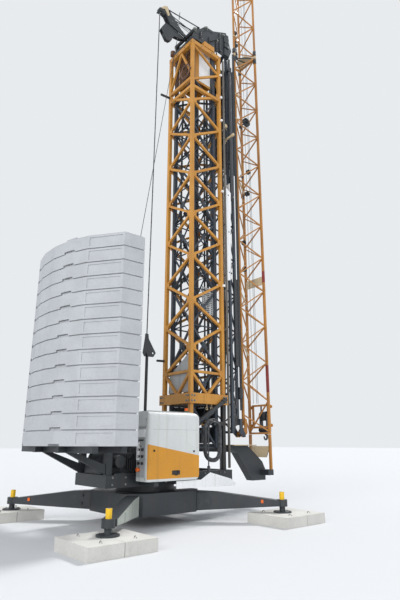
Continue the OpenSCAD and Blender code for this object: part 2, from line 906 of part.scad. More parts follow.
function face_points_1(a, b, z0, pitch, n) =
    [for (k = [0:2 * n]) section1_point(k % 2 == 0 ? a : b, z0 + k * pitch / 2)];
function face_points_2(a, b, z0, pitch, n) =
    [for (k = [0:2 * n]) section2_point(k % 2 == 0 ? a : b, z0 + k * pitch / 2)];

module jib_inner_bottom() {
    eye_r = 90;
    color("slategray") difference() {
        union() {
            for (s = signs) {
                post(pin_x, s * jib_half, section1_low, pin_z, jib_chord + 10);
                pin_y(pin_x, pin_z, s * jib_half - 35, s * jib_half + 35, eye_r);
            }
            zigzag(face_points_1(-1, 1, section1_low + 60, section1_bay, section1_bays), jib_brace + 8);
            for (z = [section1_low, section1_high])
                box([pin_x - 30, -jib_half, z], [pin_x + 30, jib_half, z + 60]);
        }
        pin_y(pin_x, pin_z, -jib_half - 50, jib_half + 50, pin_r + 0.1);
    }
}

// Fold ears at the end of a jib section. side is -1 behind the hinge and 1 before it.
module fold_ears(side, y_in, y_out) {
    x = fold_x + side * fold_offset;
    for (s = signs)
        plate_xz([
            [x - side * 40, fold_z + 420], [x + side * 40, fold_z + 420], [x + side * 50, fold_z + 60],
            [fold_x + side * 30, fold_z - 50], [fold_x - side * 45, fold_z - 40],
            [fold_x - side * 45, fold_z + 45],
            [x - side * 40, fold_z + 200]
        ], s > 0 ? y_in : -y_out, s > 0 ? y_out : -y_in);
    box([x - 38, -y_out, fold_z + 260], [x + 38, y_out, fold_z + 420]);
}

// What a sloping side of the inner section leaves free for the bottom chords and end beams
module clear_of_inner_bottom() {
    difference() {
        children();
        for (s = signs)
            box([pin_x - 35, s * jib_half - 35, section1_low - 200], [pin_x + 35, s * jib_half + 35, pin_z]);
        box([pin_x - 36, -jib_half, section1_low - 1], [pin_x + 30, jib_half, section1_low + 60]);
        box([pin_x - 36, -jib_half, section1_high], [pin_x + 30, jib_half, section1_high + 60]);
    }
}

module inner_top_chord() {
    post(inner_top_x, 0, fold_z + 300, section1_high + 60, jib_chord + 10);
}

module jib_inner_left() {
    color("slategray") clear_of_inner_bottom() difference() {
        zigzag(face_points_1(1, 0, section1_low + 60, section1_bay, section1_bays), jib_brace + 4);
        inner_top_chord();
        box([inner_top_x - 200, -500, section1_low], [inner_top_x + 200, 0, section1_high + 100]);
    }
}

module jib_inner_right() {
    color("slategray") {
        clear_of_inner_bottom() {
            inner_top_chord();
            intersection() {
                zigzag(face_points_1(-1, 0, section1_low + 60, section1_bay, section1_bays), jib_brace + 4);
                box([pin_x - 100, -500, section1_low - 50], [inner_top_x + 100, 0, section1_high + 100]);
            }
            fold_ears(-1, 110, 140);
        }
        pin_y(fold_x, fold_z, -150, 150, fold_pin_r);
    }
}

// Strip on the sloping side of the inner section, s along from the bottom chord, out from the centre line
function slope_at(side, s, out) =
    let (run = [inner_top_x - pin_x, jib_half], u = run / norm(run), n = [u[1], -u[0]])
    [pin_x + u[0] * s + n[0] * out, side * (-jib_half + u[1] * s + n[1] * out)];

module slope_strip(side, s0, s1, out0, out1, z0, z1) {
    translate([0, 0, z0]) linear_extrude(height = z1 - z0) polygon([
        slope_at(side, s0, out0), slope_at(side, s1, out0), slope_at(side, s1, out1), slope_at(side, s0, out1)
    ]);
}

slope_skin = 18.8;

module jib_root_plates() {
    low = pin_z - 4000;
    color("darkslategray") for (side = signs)
        slope_strip(side, 70, 560, slope_skin, slope_skin + 12, low, section1_high - 60);
}

module jib_side_panel() {
    face = pin_x - 35;
    thickness = 12;
    outer_edge = jib_half + 110;
    width = 265;
    low = pin_z - 7850;
    height = 2950;
    color("white")
        box([face - thickness, -outer_edge, low], [face, width - outer_edge, low + height]);
}

module folded_tie_bars() {
    tie_r = 32;
    lower = 3600;
    length = 2500;
    seat = slope_skin + 6;
    places = [[372, 57], [466, 57], [555, 70], [655, 100]];
    color("darkslategray") {
        for (p = places) {
            at = slope_at(1, p[0], p[1]);
            translate([at[0], at[1], lower]) cylinder(h = length, r = tie_r, $fn = round_fn);
        }
        for (z = [lower + 150, lower + length - 250]) {
            slope_strip(1, 250, 600, slope_skin, seat, z, z + 60);
            slope_strip(1, 370, 660, 60, 68, z, z + 60);
        }
    }
}

// What lies between two heights
module between(z0, z1) {
    intersection() {
        children();
        box([2000, -1000, z0], [5000, 1000, z1]);
    }
}

module jib_outer_bottom() {
    color("goldenrod") between(section2_low, section2_high) {
        for (s = signs) post(outer_bottom_x, s * jib_half, section2_low, section2_high, jib_chord);
        zigzag(face_points_2(-1, 1, section2_first, jib_bay, section2_bays), jib_brace);
        bar(section2_point(1, section2_low + 60), section2_point(-1, section2_first), jib_brace, jib_brace);
        for (z = [section2_low, section2_high - 50])
            box([outer_bottom_x - 25, -jib_half, z], [outer_bottom_x + 25, jib_half, z + 50]);
    }
}

// Sloping braces of one side of the outer section, cut free of the bottom chords and end beams
module outer_side_braces(s) {
    difference() {
        union() {
            zigzag(face_points_2(s, 0, section2_first, jib_bay, section2_bays), jib_brace);
            bar(
                section2_point(s, section2_low + 60),
                section2_point(0, section2_first - jib_bay / 2 + 150), jib_brace, jib_brace
            );
        }
        box(
            [outer_bottom_x - 30, s * jib_half - 30, section2_low - 1],
            [outer_bottom_x + 30, s * jib_half + 30, section2_high + 40]
        );
        box(
            [outer_bottom_x - 25, -jib_half, section2_high - 50],
            [outer_bottom_x + 25, jib_half, section2_high + 30]
        );
        box(
            [outer_bottom_x - 25, -jib_half, section2_low - 1],
            [outer_bottom_x + 25, jib_half, section2_low + 50]
        );
    }
}

module outer_top_chord() {
    post(outer_top_x, 0, fold_z + 300, section2_high, jib_chord);
}

module jib_outer_left() {
    color("goldenrod") between(section2_low, section2_high) difference() {
        outer_side_braces(1);
        outer_top_chord();
        box([outer_top_x - 200, -500, section2_low], [outer_top_x + 200, 0, section2_high + 50]);
    }
}

module jib_outer_right() {
    color("goldenrod") {
        between(section2_low, section2_high) {
            outer_top_chord();
            intersection() {
                outer_side_braces(-1);
                box(
                    [outer_top_x - 200, -500, section2_low - 50],
                    [outer_bottom_x + 100, 0, section2_high + 50]
                );
            }
        }
        difference() {
            fold_ears(1, 62, 96);
            pin_y(fold_x, fold_z, -150, 150, fold_pin_r + 0.1);
        }
    }
}

module jib_end_joint() {
    t = tip_low - section2_high;
    color("darkslategray") {
        for (s = signs) post(outer_bottom_x, s * jib_half, section2_high, tip_low, jib_chord + 20);
        post(outer_top_x, 0, section2_high, tip_low, jib_chord + 20);
    }
    color("tan") translate([0, 0, section2_high + t / 2 - 10])
        linear_extrude(height = 20) polygon([
            [outer_bottom_x, -jib_half], [outer_bottom_x, jib_half],
            [outer_bottom_x - 330, 175], [outer_bottom_x - 330, -175]
        ]);
}

tip_high = tip_low + tip_bays * tip_bay;
tip_chord = jib_chord - 8;

module jib_tip_bottom() {
    color("goldenrod") between(tip_low, tip_high) {
        for (s = signs) post(outer_bottom_x, s * jib_half, tip_low, tip_high, tip_chord);
        zigzag(face_points_2(-1, 1, tip_low, tip_bay, tip_bays), jib_brace);
        box([outer_bottom_x - 26, -jib_half, tip_high - 50], [outer_bottom_x + 26, jib_half, tip_high]);
    }
}

// Sloping braces of one side of the end section, cut free of the bottom chords and the end beam
module tip_side_braces(s) {
    half = tip_chord / 2;
    difference() {
        zigzag(face_points_2(s, 0, tip_low, tip_bay, tip_bays), jib_brace);
        box(
            [outer_bottom_x - half, s * jib_half - half, tip_low - 50],
            [outer_bottom_x + half, s * jib_half + half, tip_high + 50]
        );
        box([outer_bottom_x - 26, -jib_half, tip_high - 60], [outer_bottom_x + 60, jib_half, tip_high + 60]);
        box(
            [outer_bottom_x - jib_brace / 2 - 0.5, -jib_half, tip_low - 50],
            [outer_bottom_x + 60, jib_half, tip_high]
        );
    }
}

module tip_top_chord() {
    post(outer_top_x, 0, tip_low, tip_high, tip_chord);
}

module jib_tip_left() {
    color("goldenrod") between(tip_low, tip_high) difference() {
        tip_side_braces(1);
        tip_top_chord();
        box([outer_top_x - 200, -500, tip_low - 50], [outer_top_x + 200, 0, tip_high + 50]);
    }
}

module jib_tip_right() {
    color("goldenrod") between(tip_low, tip_high) {
        tip_top_chord();
        intersection() {
            tip_side_braces(-1);
            box([outer_top_x - 200, -500, tip_low - 50], [outer_bottom_x + 100, 0, tip_high + 50]);
        }
    }
}

trolley_low = 2000;
trolley_high = 2640;
roller_r = 45;
trolley_face = outer_bottom_x + jib_chord / 2 + 0.5;

module trolley() {
    face = trolley_face;
    color("dimgray") {
        for (s = signs, z = [trolley_low + 70, trolley_high - 70]) {
            pin = face + roller_r;
            translate([pin, s > 0 ? jib_half - 25 : -jib_half - 25, z]) rotate([-90, 0, 0])
                cylinder(h = 50, r = roller_r, $fn = round_fn);
            pin_y(pin, z, s > 0 ? jib_half - 60 : -jib_half - 60, s > 0 ? jib_half + 60 : -jib_half + 60, 14);
        }
        for (s = signs)
            side_box(s, [face + 20, jib_half - 70, trolley_low], [face + 90, jib_half - 45, trolley_high]);
        for (z = [trolley_low, trolley_high - 50])
            box([face + 30, -jib_half + 46, z], [face + 85, jib_half - 46, z + 50]);
    }
}

module hook_block() {
    x = outer_bottom_x + 210;
    color("dimgray") {
        for (s = signs) pin_y(x, 2330, s * 70 - 25, s * 70 + 25, 130);
        pin_y(x, 2330, -150, 150, 28);
        for (s = signs)
            plate_xz(
                [[x - 70, 2060], [x + 70, 2060], [x + 60, 2400], [x - 60, 2400]],
                s * 120 - 10, s * 120 + 10
            );
        box([x - 70, -130, 2000], [x + 70, 130, 2062]);
        for (s = signs) box([trolley_face + 85, s * 120 - 12, 2600], [x + 30, s * 120 + 12, 2630]);
        for (s = signs) box([x - 10, s * 120 - 12, 2380], [x + 30, s * 120 + 12, 2630]);
    }
}

ground_pads();
spindle_feet();
spindles();
spindle_caps();
outrigger_legs();
undercarriage_frame();
slewing_ring_lower();
slewing_ring_upper();
platform_frame();
ballast_frame();
ballast_blocks(0);  // ballast_blocks_odd
ballast_blocks(1);  // ballast_blocks_even
cabinet_housing();
cabinet_side_panel();
control_panel();
beacon();
hoist_winch();
power_unit();
side_aprons();
tower_foot();
tower_base_frame();
outer_tower_rear();
outer_tower_front();
outer_tower_sides();
tower_top_frame();
erecting_cylinders();
erecting_rods();
rear_guy_rods();
guy_link_plate();
rear_guy_rope();
jib_rest();
conduit_pipe();
cable_fittings();
cable_tails();
cable_hank();
cable_plug();
inner_tower_rear();
inner_tower_front();
inner_tower_sides();
head_box();
tower_head();
jib_pin();
guy_strut();
strut_sheaves();
jib_inner_bottom();
jib_inner_left();
jib_inner_right();
jib_root_plates();
jib_side_panel();
folded_tie_bars();
jib_outer_bottom();
jib_outer_left();
jib_outer_right();
jib_end_joint();
jib_tip_bottom();
jib_tip_left();
jib_tip_right();
trolley();
hook_block();
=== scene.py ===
# %% [markdown]
# A self-erecting tower crane, parked with its tower lowered and its jib folded up beside it. The
# steelwork comes packed from the solid model. This script gives it paint, concrete, steel and
# rubber, and adds the small things that a solid model leaves out: bolts, hoses, ropes and plates.
# The first cell loads that steelwork and can read the box of any of its parts.

# %% Load the steelwork
import math

import bmesh
import bpy
from mathutils import Matrix, Vector


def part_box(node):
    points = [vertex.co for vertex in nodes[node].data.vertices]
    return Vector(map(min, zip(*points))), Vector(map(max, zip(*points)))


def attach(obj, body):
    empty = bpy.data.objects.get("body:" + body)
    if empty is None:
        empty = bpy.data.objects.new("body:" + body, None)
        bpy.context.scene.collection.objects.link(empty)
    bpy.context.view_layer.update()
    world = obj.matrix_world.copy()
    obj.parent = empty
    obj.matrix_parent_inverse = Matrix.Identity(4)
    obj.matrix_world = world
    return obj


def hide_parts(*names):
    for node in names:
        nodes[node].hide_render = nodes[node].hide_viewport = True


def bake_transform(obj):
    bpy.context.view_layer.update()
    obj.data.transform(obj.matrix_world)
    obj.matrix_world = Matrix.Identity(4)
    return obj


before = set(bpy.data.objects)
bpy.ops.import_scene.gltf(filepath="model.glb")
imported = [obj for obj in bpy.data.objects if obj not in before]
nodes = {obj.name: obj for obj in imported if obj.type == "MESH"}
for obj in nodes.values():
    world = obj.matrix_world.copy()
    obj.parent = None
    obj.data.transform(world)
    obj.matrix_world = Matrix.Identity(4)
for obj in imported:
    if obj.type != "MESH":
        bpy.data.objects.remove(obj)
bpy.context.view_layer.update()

# %% [markdown]
# The camera stands at eye height, 1.6 m, close to the crane's rear right corner, and looks up by
# almost 17 degrees, so the tower leans away as tall things do in a photograph. A lens of 28.7 mm
# on the long side of the picture gives the same perspective as the real view.

# %% Camera
EYE = Vector((-6.352, -9.343, 1.6))
HEADING = math.radians(49.63)
PITCH = math.radians(16.68)
camera = bpy.data.objects.new("camera", bpy.data.cameras.new("camera"))
bpy.context.scene.collection.objects.link(camera)
camera.data.lens = 28.70
camera.data.clip_end = 400
camera.location = EYE
gaze = Vector((math.cos(HEADING) * math.cos(PITCH), math.sin(HEADING) * math.cos(PITCH), math.sin(PITCH)))
camera.rotation_euler = gaze.to_track_quat("-Z", "Y").to_euler()
bpy.context.scene.camera = camera
bpy.context.scene.view_settings.view_transform = "Standard"
print("camera looks along", [round(v, 3) for v in gaze])

# %% [markdown]
# The supply cable comes first after the camera, because its route was settled with the solid
# model. It leaves a gland on the platform, curves up into a hank that hangs on a hook, goes round
# eight times and drops straight down to its plug. Neighbouring turns lie in three layers and
# three columns, so the cable never runs through itself: each turn changes its column in the
# first half of a bend and its layer in the second half.

# %% The coiled cable
CABLE_R = 0.015
COIL_X = 1.240
COIL_LOW = 1.455
COIL_HIGH = 1.885
LAYERS = [0.250, 0.219, 0.188]
COLUMNS = [-0.839, -0.870, -0.901, -0.932]
RIGHT_SIDE = [(0, 0), (1, 0), (2, 0), (2, 1), (1, 1), (0, 1), (1, 2), (2, 2)]
LEFT_SIDE = [(0, 0), (1, 0), (2, 0), (1, 1), (0, 1), (0, 2), (1, 2), (2, 3)]
GLAND_END = (1.490, -0.690, 0.880)
LEAD_IN = [
    (-0.715, 0.880), (-0.750, 0.888), (-0.788, 0.912), (-0.820, 0.955), (-0.836, 1.020), (-0.839, 1.100),
    (-0.839, 1.170), (-0.839, 1.240), (-0.839, 1.310), (-0.839, 1.380),
]
PLUG_TOP = 1.120


def eased(t):
    t = min(1, max(0, t))
    return t * t * (3 - 2 * t)


def bend_over(start, end, height, first_angle, steps=18):
    """Half a turn of the hank, from one (layer, column) place to another."""
    points = []
    for step in range(steps + 1):
        along = step / steps
        radius = LAYERS[start[0]] + (LAYERS[end[0]] - LAYERS[start[0]]) * eased(2 * along - 1)
        y = COLUMNS[start[1]] + (COLUMNS[end[1]] - COLUMNS[start[1]]) * eased(2 * along)
        angle = first_angle + math.pi * along
        points.append((COIL_X + radius * math.cos(angle), y, height + radius * math.sin(angle)))
    return points


route = [GLAND_END] + [(GLAND_END[0], y, z) for y, z in LEAD_IN]
for turn, (right, left) in enumerate(zip(RIGHT_SIDE, LEFT_SIDE)):
    route += bend_over(right, left, COIL_HIGH, 0)
    if turn + 1 < len(RIGHT_SIDE):
        route += bend_over(left, RIGHT_SIDE[turn + 1], COIL_LOW, math.pi)
tail_x, tail_y, _ = route[-1]
route += [(tail_x, tail_y, COIL_HIGH + (PLUG_TOP - COIL_HIGH) * k / 8) for k in range(1, 9)]

cable_line = bpy.data.curves.new("supply_cable", "CURVE")
cable_line.dimensions = "3D"
cable_line.bevel_depth = CABLE_R
cable_line.bevel_resolution = 3
cable_line.use_fill_caps = True
spline = cable_line.splines.new("POLY")
spline.points.add(len(route) - 1)
for point, place in zip(spline.points, route):
    point.co = (*place, 1)
cable = bpy.data.objects.new("supply_cable", cable_line)
bpy.context.scene.collection.objects.link(cable)
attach(cable, "slewing_platform")
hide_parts("cable_hank", "cable_tails")

# %% [markdown]
# Materials are built from nodes. Wiring each Math node by hand is long, so a small class wraps a
# socket: adding or multiplying two of them adds the Math node. A second class holds a material
# and offers the few building blocks that every finish here uses, such as noise and bump. All
# patterns read Object coordinates, which are real metres, so a speck has its true size.

# %% Shader helpers
def srgb(r, g, b):
    """A colour given as on screen, 0 to 255, in the linear values that Blender wants."""
    return tuple((c / 255 / 12.92 if c < 11 else ((c / 255 + 0.055) / 1.055) ** 2.4) for c in (r, g, b)) + (1,)


class Value:
    def __init__(self, tree, socket):
        self.tree = tree
        self.socket = socket

    def join(self, operation, first, second):
        made = self.tree.nodes.new("ShaderNodeMath")
        made.operation = operation
        for slot, value in zip(made.inputs, (first, second)):
            plug(self.tree, slot, value)
        return Value(self.tree, made.outputs[0])

    def __add__(self, other):
        return self.join("ADD", self, other)

    def __mul__(self, other):
        return self.join("MULTIPLY", self, other)

    def __sub__(self, other):
        return self.join("SUBTRACT", self, other)

    def __rsub__(self, other):
        return self.join("SUBTRACT", other, self)

    def over(self, limit):
        return self.join("GREATER_THAN", self, limit)

    def most(self, other):
        return self.join("MAXIMUM", self, other)

    __radd__ = __add__
    __rmul__ = __mul__


def plug(tree, slot, value):
    if isinstance(value, Value):
        tree.links.new(value.socket, slot)
    else:
        slot.default_value = value


class Finish:
    def __init__(self, name, **constants):
        self.material = bpy.data.materials.new(name)
        self.material.use_nodes = True
        self.tree = self.material.node_tree
        self.shader = self.tree.nodes["Principled BSDF"]
        self.place = self.node("ShaderNodeTexCoord", output="Object")
        for socket, value in constants.items():
            self.set(socket, value)

    def set(self, socket, value):
        plug(self.tree, self.shader.inputs[socket.replace("_", " ")], value)

    def node(self, kind, settings=None, inputs=None, output=0):
        made = self.tree.nodes.new(kind)
        for key, value in (settings or {}).items():
            if key == "stops":
                stops = made.color_ramp.elements
                while len(stops) < len(value):
                    stops.new(0.5)
                for stop, (at, colour) in zip(stops, value):
                    stop.position = at
                    stop.color = colour
            else:
                setattr(made, key, value)
        for key, value in (inputs or {}).items():
            plug(self.tree, made.inputs[key], value)
        return Value(self.tree, made.outputs[output])

    def noise(self, scale, detail=3, stretch=(1, 1, 1)):
        place = self.node("ShaderNodeMapping", inputs={"Vector": self.place, "Scale": stretch})
        return self.node("ShaderNodeTexNoise", inputs={"Vector": place, "Scale": scale, "Detail": detail})

    def band(self, value, low, high):
        """Nought below low, one above high, smooth between."""
        return self.node("ShaderNodeMapRange", {"interpolation_type": "SMOOTHSTEP"},
                         {"Value": value, "From Min": low, "From Max": high})

    def mix(self, factor, first, second):
        return self.node("ShaderNodeMix", {"data_type": "RGBA"}, {0: factor, 6: first, 7: second}, 2)

    def bump(self, height, strength, distance):
        self.set("Normal", self.node("ShaderNodeBump", inputs={
            "Height": height, "Strength": strength, "Distance": distance}))


print("helpers ready")

# %% [markdown]
# Crane paint is a tough coat on rolled steel. Up close it has a fine orange-peel skin, the colour
# fades in patches, rain draws faint streaks down it, and it chips where chains and boots knock it.
# One function makes every painted finish, because only the colours and the wear differ.

# %% Painted steel
def painted_steel(name, colour, faded, grime, chip, roughness=0.42, wear=0.70, beyond=None):
    """Paint in four tones. With beyond, a second colour starts at a place along one axis."""
    coat = Finish(name, Metallic=0.0)
    patches = coat.band(coat.noise(1.3, 3), 0.35, 0.68)
    streaks = coat.band(coat.noise(9, 4, (1, 1, 0.06)), 0.52, 0.74)
    dust = coat.band(coat.noise(26, 4), 0.5, 0.72)
    chips = coat.band(coat.noise(42, 6), wear, wear + 0.03)
    body = coat.mix(patches, colour, faded)
    if beyond:
        axis, limit, second = beyond
        along = coat.node("ShaderNodeSeparateXYZ", inputs={"Vector": coat.place}, output=axis)
        body = coat.mix(along.over(limit), body, second)
    body = coat.mix(streaks * 0.4 + dust * 0.2, body, grime)
    coat.set("Base Color", coat.mix(chips, body, chip))
    coat.set("Roughness", roughness + 0.16 * dust + 0.25 * chips + 0.08 * patches)
    coat.bump(coat.noise(300, 2) * 0.25 - chips * 0.8, 0.25, 0.0015)
    return coat.material


yellow = painted_steel("crane_yellow", srgb(202, 143, 58), srgb(188, 131, 56), srgb(134, 95, 48), srgb(94, 64, 42))
jib_yellow = painted_steel("jib_yellow", srgb(184, 126, 54), srgb(164, 110, 52), srgb(112, 76, 42), srgb(76, 54, 40))
charcoal = painted_steel("charcoal_paint", srgb(41, 46, 51), srgb(53, 57, 61), srgb(62, 57, 50), srgb(92, 78, 66))
slate = painted_steel("slate_paint", srgb(52, 61, 72), srgb(64, 72, 82), srgb(52, 46, 40), srgb(92, 70, 54))
cream = painted_steel("hood_white", srgb(214, 216, 214), srgb(206, 208, 206), srgb(184, 184, 178), srgb(160, 158, 150), 0.34, 0.78)
cabinet_gold = painted_steel(
    "cabinet_gold", srgb(216, 149, 36), srgb(206, 142, 40), srgb(166, 122, 58), srgb(120, 90, 60), 0.34, 0.78)
cap_paint = painted_steel("cap_yellow", srgb(240, 192, 20), srgb(228, 182, 36), srgb(150, 126, 50), srgb(90, 80, 60))
panel_paint = painted_steel("panel_grey", srgb(176, 178, 178), srgb(166, 168, 168), srgb(128, 124, 116), srgb(96, 92, 86))
pipe_paint = painted_steel("pipe_brown", srgb(86, 82, 76), srgb(76, 72, 66), srgb(64, 56, 48), srgb(120, 112, 100))
white_paint = painted_steel("white_paint", srgb(242, 243, 243), srgb(236, 237, 238), srgb(204, 202, 196), srgb(150, 144, 136))
panel_white = painted_steel("panel_white", srgb(250, 250, 250), srgb(246, 246, 247), srgb(226, 224, 220), srgb(190, 184, 176))
tan_paint = painted_steel("tan_paint", srgb(206, 186, 150), srgb(192, 172, 138), srgb(142, 122, 94), srgb(98, 84, 68))
rust_paint = painted_steel("rust_brown", srgb(112, 78, 58), srgb(92, 66, 50), srgb(70, 52, 42), srgb(140, 92, 62))
primer_red = painted_steel("primer_red", srgb(136, 40, 34), srgb(122, 46, 38), srgb(84, 40, 32), srgb(80, 54, 42))
leg_grey = painted_steel("leg_grey", srgb(172, 178, 170), srgb(160, 166, 158), srgb(100, 98, 90), srgb(84, 78, 70))
# The tower foot is yellow. The dark grey that its front part takes beyond x = 1.3 m is painted shade.
foot_paint_with_painted_shade = painted_steel(
    "foot_paint_with_painted_shade", srgb(202, 143, 58), srgb(188, 131, 56), srgb(134, 95, 48), srgb(94, 64, 42), beyond=(0, 1.3, srgb(36, 39, 42)))
lamp_paint = painted_steel(
    "lamp_paint", srgb(20, 96, 58), srgb(24, 86, 54), srgb(40, 60, 44), srgb(60, 60, 50), beyond=(2, 2.275, srgb(238, 104, 20)))
signal_orange = painted_steel("signal_orange", srgb(238, 110, 24), srgb(228, 104, 30), srgb(180, 84, 34), srgb(150, 80, 44))
print("painted finishes:", len(bpy.data.materials))

# %% [markdown]
# The ballast blocks are cast concrete with a coat of white masonry paint. The paint hides the
# colour of the stone but not its texture: small air holes, soft mottling and dark rain streaks.
# The sleepers under the legs are bare concrete, greyer, rougher and dirtier.

# %% Concrete, steel and rubber
def cast_concrete(name, colour, shade, stain_and_pore_shade, pores, streak):
    stone = Finish(name)
    mottle = stone.band(stone.noise(2.2, 5), 0.38, 0.66)
    fine = stone.band(stone.noise(34, 5), 0.4, 0.7)
    rain = stone.band(stone.noise(5, 5, (1, 1, 0.12)), 0.55, 0.85)
    holes = stone.band(stone.node("ShaderNodeTexVoronoi", inputs={"Vector": stone.place, "Scale": 24.0}), 0.0, 0.1)
    body = stone.mix(mottle, colour, shade)
    body = stone.mix(rain * streak + fine * 0.15, body, stain_and_pore_shade)
    # The air holes take the stain colour: partly dirt in them, partly painted shade inside them.
    stone.set("Base Color", stone.mix((1 - holes) * pores, body, stain_and_pore_shade))
    stone.set("Roughness", 0.82 + 0.12 * fine)
    stone.bump(holes * pores + stone.noise(120, 4) * 0.5 + mottle * 0.2, 0.45, 0.003)
    return stone.material


ballast_paint = cast_concrete("ballast_paint", srgb(186, 188, 191), srgb(179, 181, 184), srgb(148, 149, 150), 0.12, 0.10)
sleeper_stone = cast_concrete("sleeper_concrete", srgb(208, 206, 200), srgb(198, 196, 190), srgb(156, 152, 144), 0.4, 0.22)


def bright_metal(name, colour, dull, roughness):
    metal = Finish(name, Metallic=1.0)
    film = metal.band(metal.noise(18, 4), 0.42, 0.7)
    lines = metal.noise(160, 2, (1, 1, 0.05))
    metal.set("Base Color", metal.mix(film, colour, dull))
    metal.set("Roughness", roughness + 0.3 * film + 0.1 * lines)
    metal.bump(lines, 0.12, 0.0008)
    return metal.material


def soft_black(name, colour, dusty, roughness):
    skin = Finish(name)
    dust = skin.band(skin.noise(14, 5), 0.45, 0.75)
    skin.set("Base Color", skin.mix(dust * 0.7, colour, dusty))
    skin.set("Roughness", roughness + 0.2 * dust)
    skin.bump(skin.noise(240, 3), 0.2, 0.001)
    return skin.material


bare_steel = bright_metal("bare_steel", srgb(176, 178, 180), srgb(122, 116, 108), 0.28)
zinc = bright_metal("zinc_plate", srgb(150, 152, 152), srgb(120, 118, 112), 0.42)
greased_rope = bright_metal("greased_rope", srgb(96, 98, 102), srgb(56, 54, 52), 0.46)
rubber = soft_black("black_rubber", srgb(34, 35, 37), srgb(78, 76, 72), 0.55)
cable_rubber = soft_black("cable_rubber", srgb(58, 60, 64), srgb(116, 116, 116), 0.36)
print("all finishes:", len(bpy.data.materials))

# %% [markdown]
# Each steel piece takes its finish by name. A table from node to finish keeps that readable, and
# anything that the table forgets would stay plain, so the cell counts what is left over.

# %% Dress the steelwork
DRESS = {
    sleeper_stone: ["ground_pads"],
    charcoal: [
        "spindle_feet", "outrigger_legs", "undercarriage_frame", "slewing_ring_lower", "slewing_ring_upper",
        "platform_frame", "ballast_frame", "hoist_winch", "power_unit", "erecting_cylinders", "rear_guy_rods",
        "guy_link_plate", "jib_rest", "cable_fittings", "tower_head", "guy_strut", "strut_sheaves",
        "jib_root_plates", "folded_tie_bars", "hook_block", "erecting_rods",
    ],
    bare_steel: ["spindles", "jib_pin"],
    pipe_paint: ["conduit_pipe"],
    cap_paint: ["spindle_caps"],
    ballast_paint: ["ballast_blocks_odd", "ballast_blocks_even"],
    cream: ["cabinet_housing"],
    cabinet_gold: ["cabinet_side_panel"],
    panel_paint: ["control_panel"],
    white_paint: ["side_aprons"],
    panel_white: ["jib_side_panel"],
    tan_paint: ["jib_end_joint"],
    foot_paint_with_painted_shade: ["tower_foot"],
    lamp_paint: ["beacon"],
    yellow: [
        "tower_base_frame", "outer_tower_rear", "outer_tower_front", "outer_tower_sides", "tower_top_frame",
        "head_box",
    ],
    slate: [
        "inner_tower_rear", "inner_tower_front", "inner_tower_sides", "jib_inner_bottom", "jib_inner_left",
        "jib_inner_right",
    ],
    jib_yellow: [
        "jib_outer_bottom", "jib_outer_left", "jib_outer_right", "jib_tip_bottom", "jib_tip_left",
        "jib_tip_right", "trolley",
    ],
    greased_rope: ["rear_guy_rope"],
    cable_rubber: ["cable_hank", "cable_tails", "cable_plug"],
}


def dress(piece, finish):
    if piece.material_slots:
        for slot in piece.material_slots:
            slot.material = finish
    else:
        piece.data.materials.append(finish)


for finish, names in DRESS.items():
    for name in names:
        dress(nodes[name], finish)
cable.data.materials.append(cable_rubber)
left_plain = set(nodes) - {n for names in DRESS.values() for n in names}
print("still plain:", sorted(left_plain))

# %% [markdown]
# Small parts are built with a few tools. Each one adds its shape to a mesh that is still open for
# editing, so one piece can hold many bolts or plates. Closing the piece turns its faces outwards,
# gives it a finish and ties it to the moving body that carries it.

# %% Modelling helpers
def block(mesh, low, high, soft=0.0):
    """A box between two corners, with its edges rounded by soft."""
    low, high = Vector(low), Vector(high)
    place = Matrix.Translation((low + high) / 2) @ Matrix.Diagonal((*(high - low), 1))
    made = bmesh.ops.create_cube(mesh, size=1, matrix=place)["verts"]
    if soft:
        edges = list({edge for corner in made for edge in corner.link_edges})
        bmesh.ops.bevel(mesh, geom=edges, offset=soft, offset_type="OFFSET", segments=2, profile=0.5,
                        affect="EDGES", material=-1)


def rod(mesh, start, end, radius, sides=10, far_radius=None):
    start, end = Vector(start), Vector(end)
    run = end - start
    place = Matrix.Translation((start + end) / 2) @ run.to_track_quat("Z", "Y").to_matrix().to_4x4()
    bmesh.ops.create_cone(mesh, cap_ends=True, segments=sides, radius1=radius,
                          radius2=radius if far_radius is None else far_radius, depth=run.length, matrix=place)


def slab(mesh, outline, shift):
    """A plate: the outline's corners, pushed along shift to give it thickness."""
    corners = [mesh.verts.new(corner) for corner in outline]
    face = mesh.faces.new(corners)
    pushed = bmesh.ops.extrude_face_region(mesh, geom=[face])["geom"]
    bmesh.ops.translate(mesh, vec=Vector(shift), verts=[v for v in pushed if isinstance(v, bmesh.types.BMVert)])
    rim = {edge for corner in corners for edge in corner.link_edges if edge.is_boundary}
    if rim:
        bmesh.ops.holes_fill(mesh, edges=list(rim), sides=0)


def bolt(mesh, foot, axis, radius=0.014):
    foot, axis = Vector(foot), Vector(axis).normalized()
    rod(mesh, foot, foot + axis * radius * 0.35, radius * 1.5, 14)
    rod(mesh, foot + axis * radius * 0.35, foot + axis * radius * 1.35, radius, 6)


def torus(mesh, centre, axis, radius, thick, steps=28, sides=8, turn=360):
    """A round bar bent to a ring or part of one, by spinning a circle about the axis."""
    centre, axis = Vector(centre), Vector(axis).normalized()
    side = axis.orthogonal().normalized()
    frame_turn = Matrix((side, axis, side.cross(axis))).transposed().to_4x4()
    place = Matrix.Translation(centre + side * radius) @ frame_turn
    circle = bmesh.ops.create_circle(mesh, segments=sides, radius=thick, matrix=place)["verts"]
    edges = list({edge for v in circle for edge in v.link_edges})
    bmesh.ops.spin(mesh, geom=circle + edges, cent=centre, axis=axis, angle=math.radians(turn),
                   steps=steps, use_merge=turn == 360, use_duplicate=False)


def close(name, mesh, finish, body):
    bmesh.ops.recalc_face_normals(mesh, faces=mesh.faces)
    data = bpy.data.meshes.new(name)
    mesh.to_mesh(data)
    mesh.free()
    data.materials.append(finish)
    made = bpy.data.objects.new(name, data)
    bpy.context.scene.collection.objects.link(made)
    if body:
        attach(made, body)
    return made


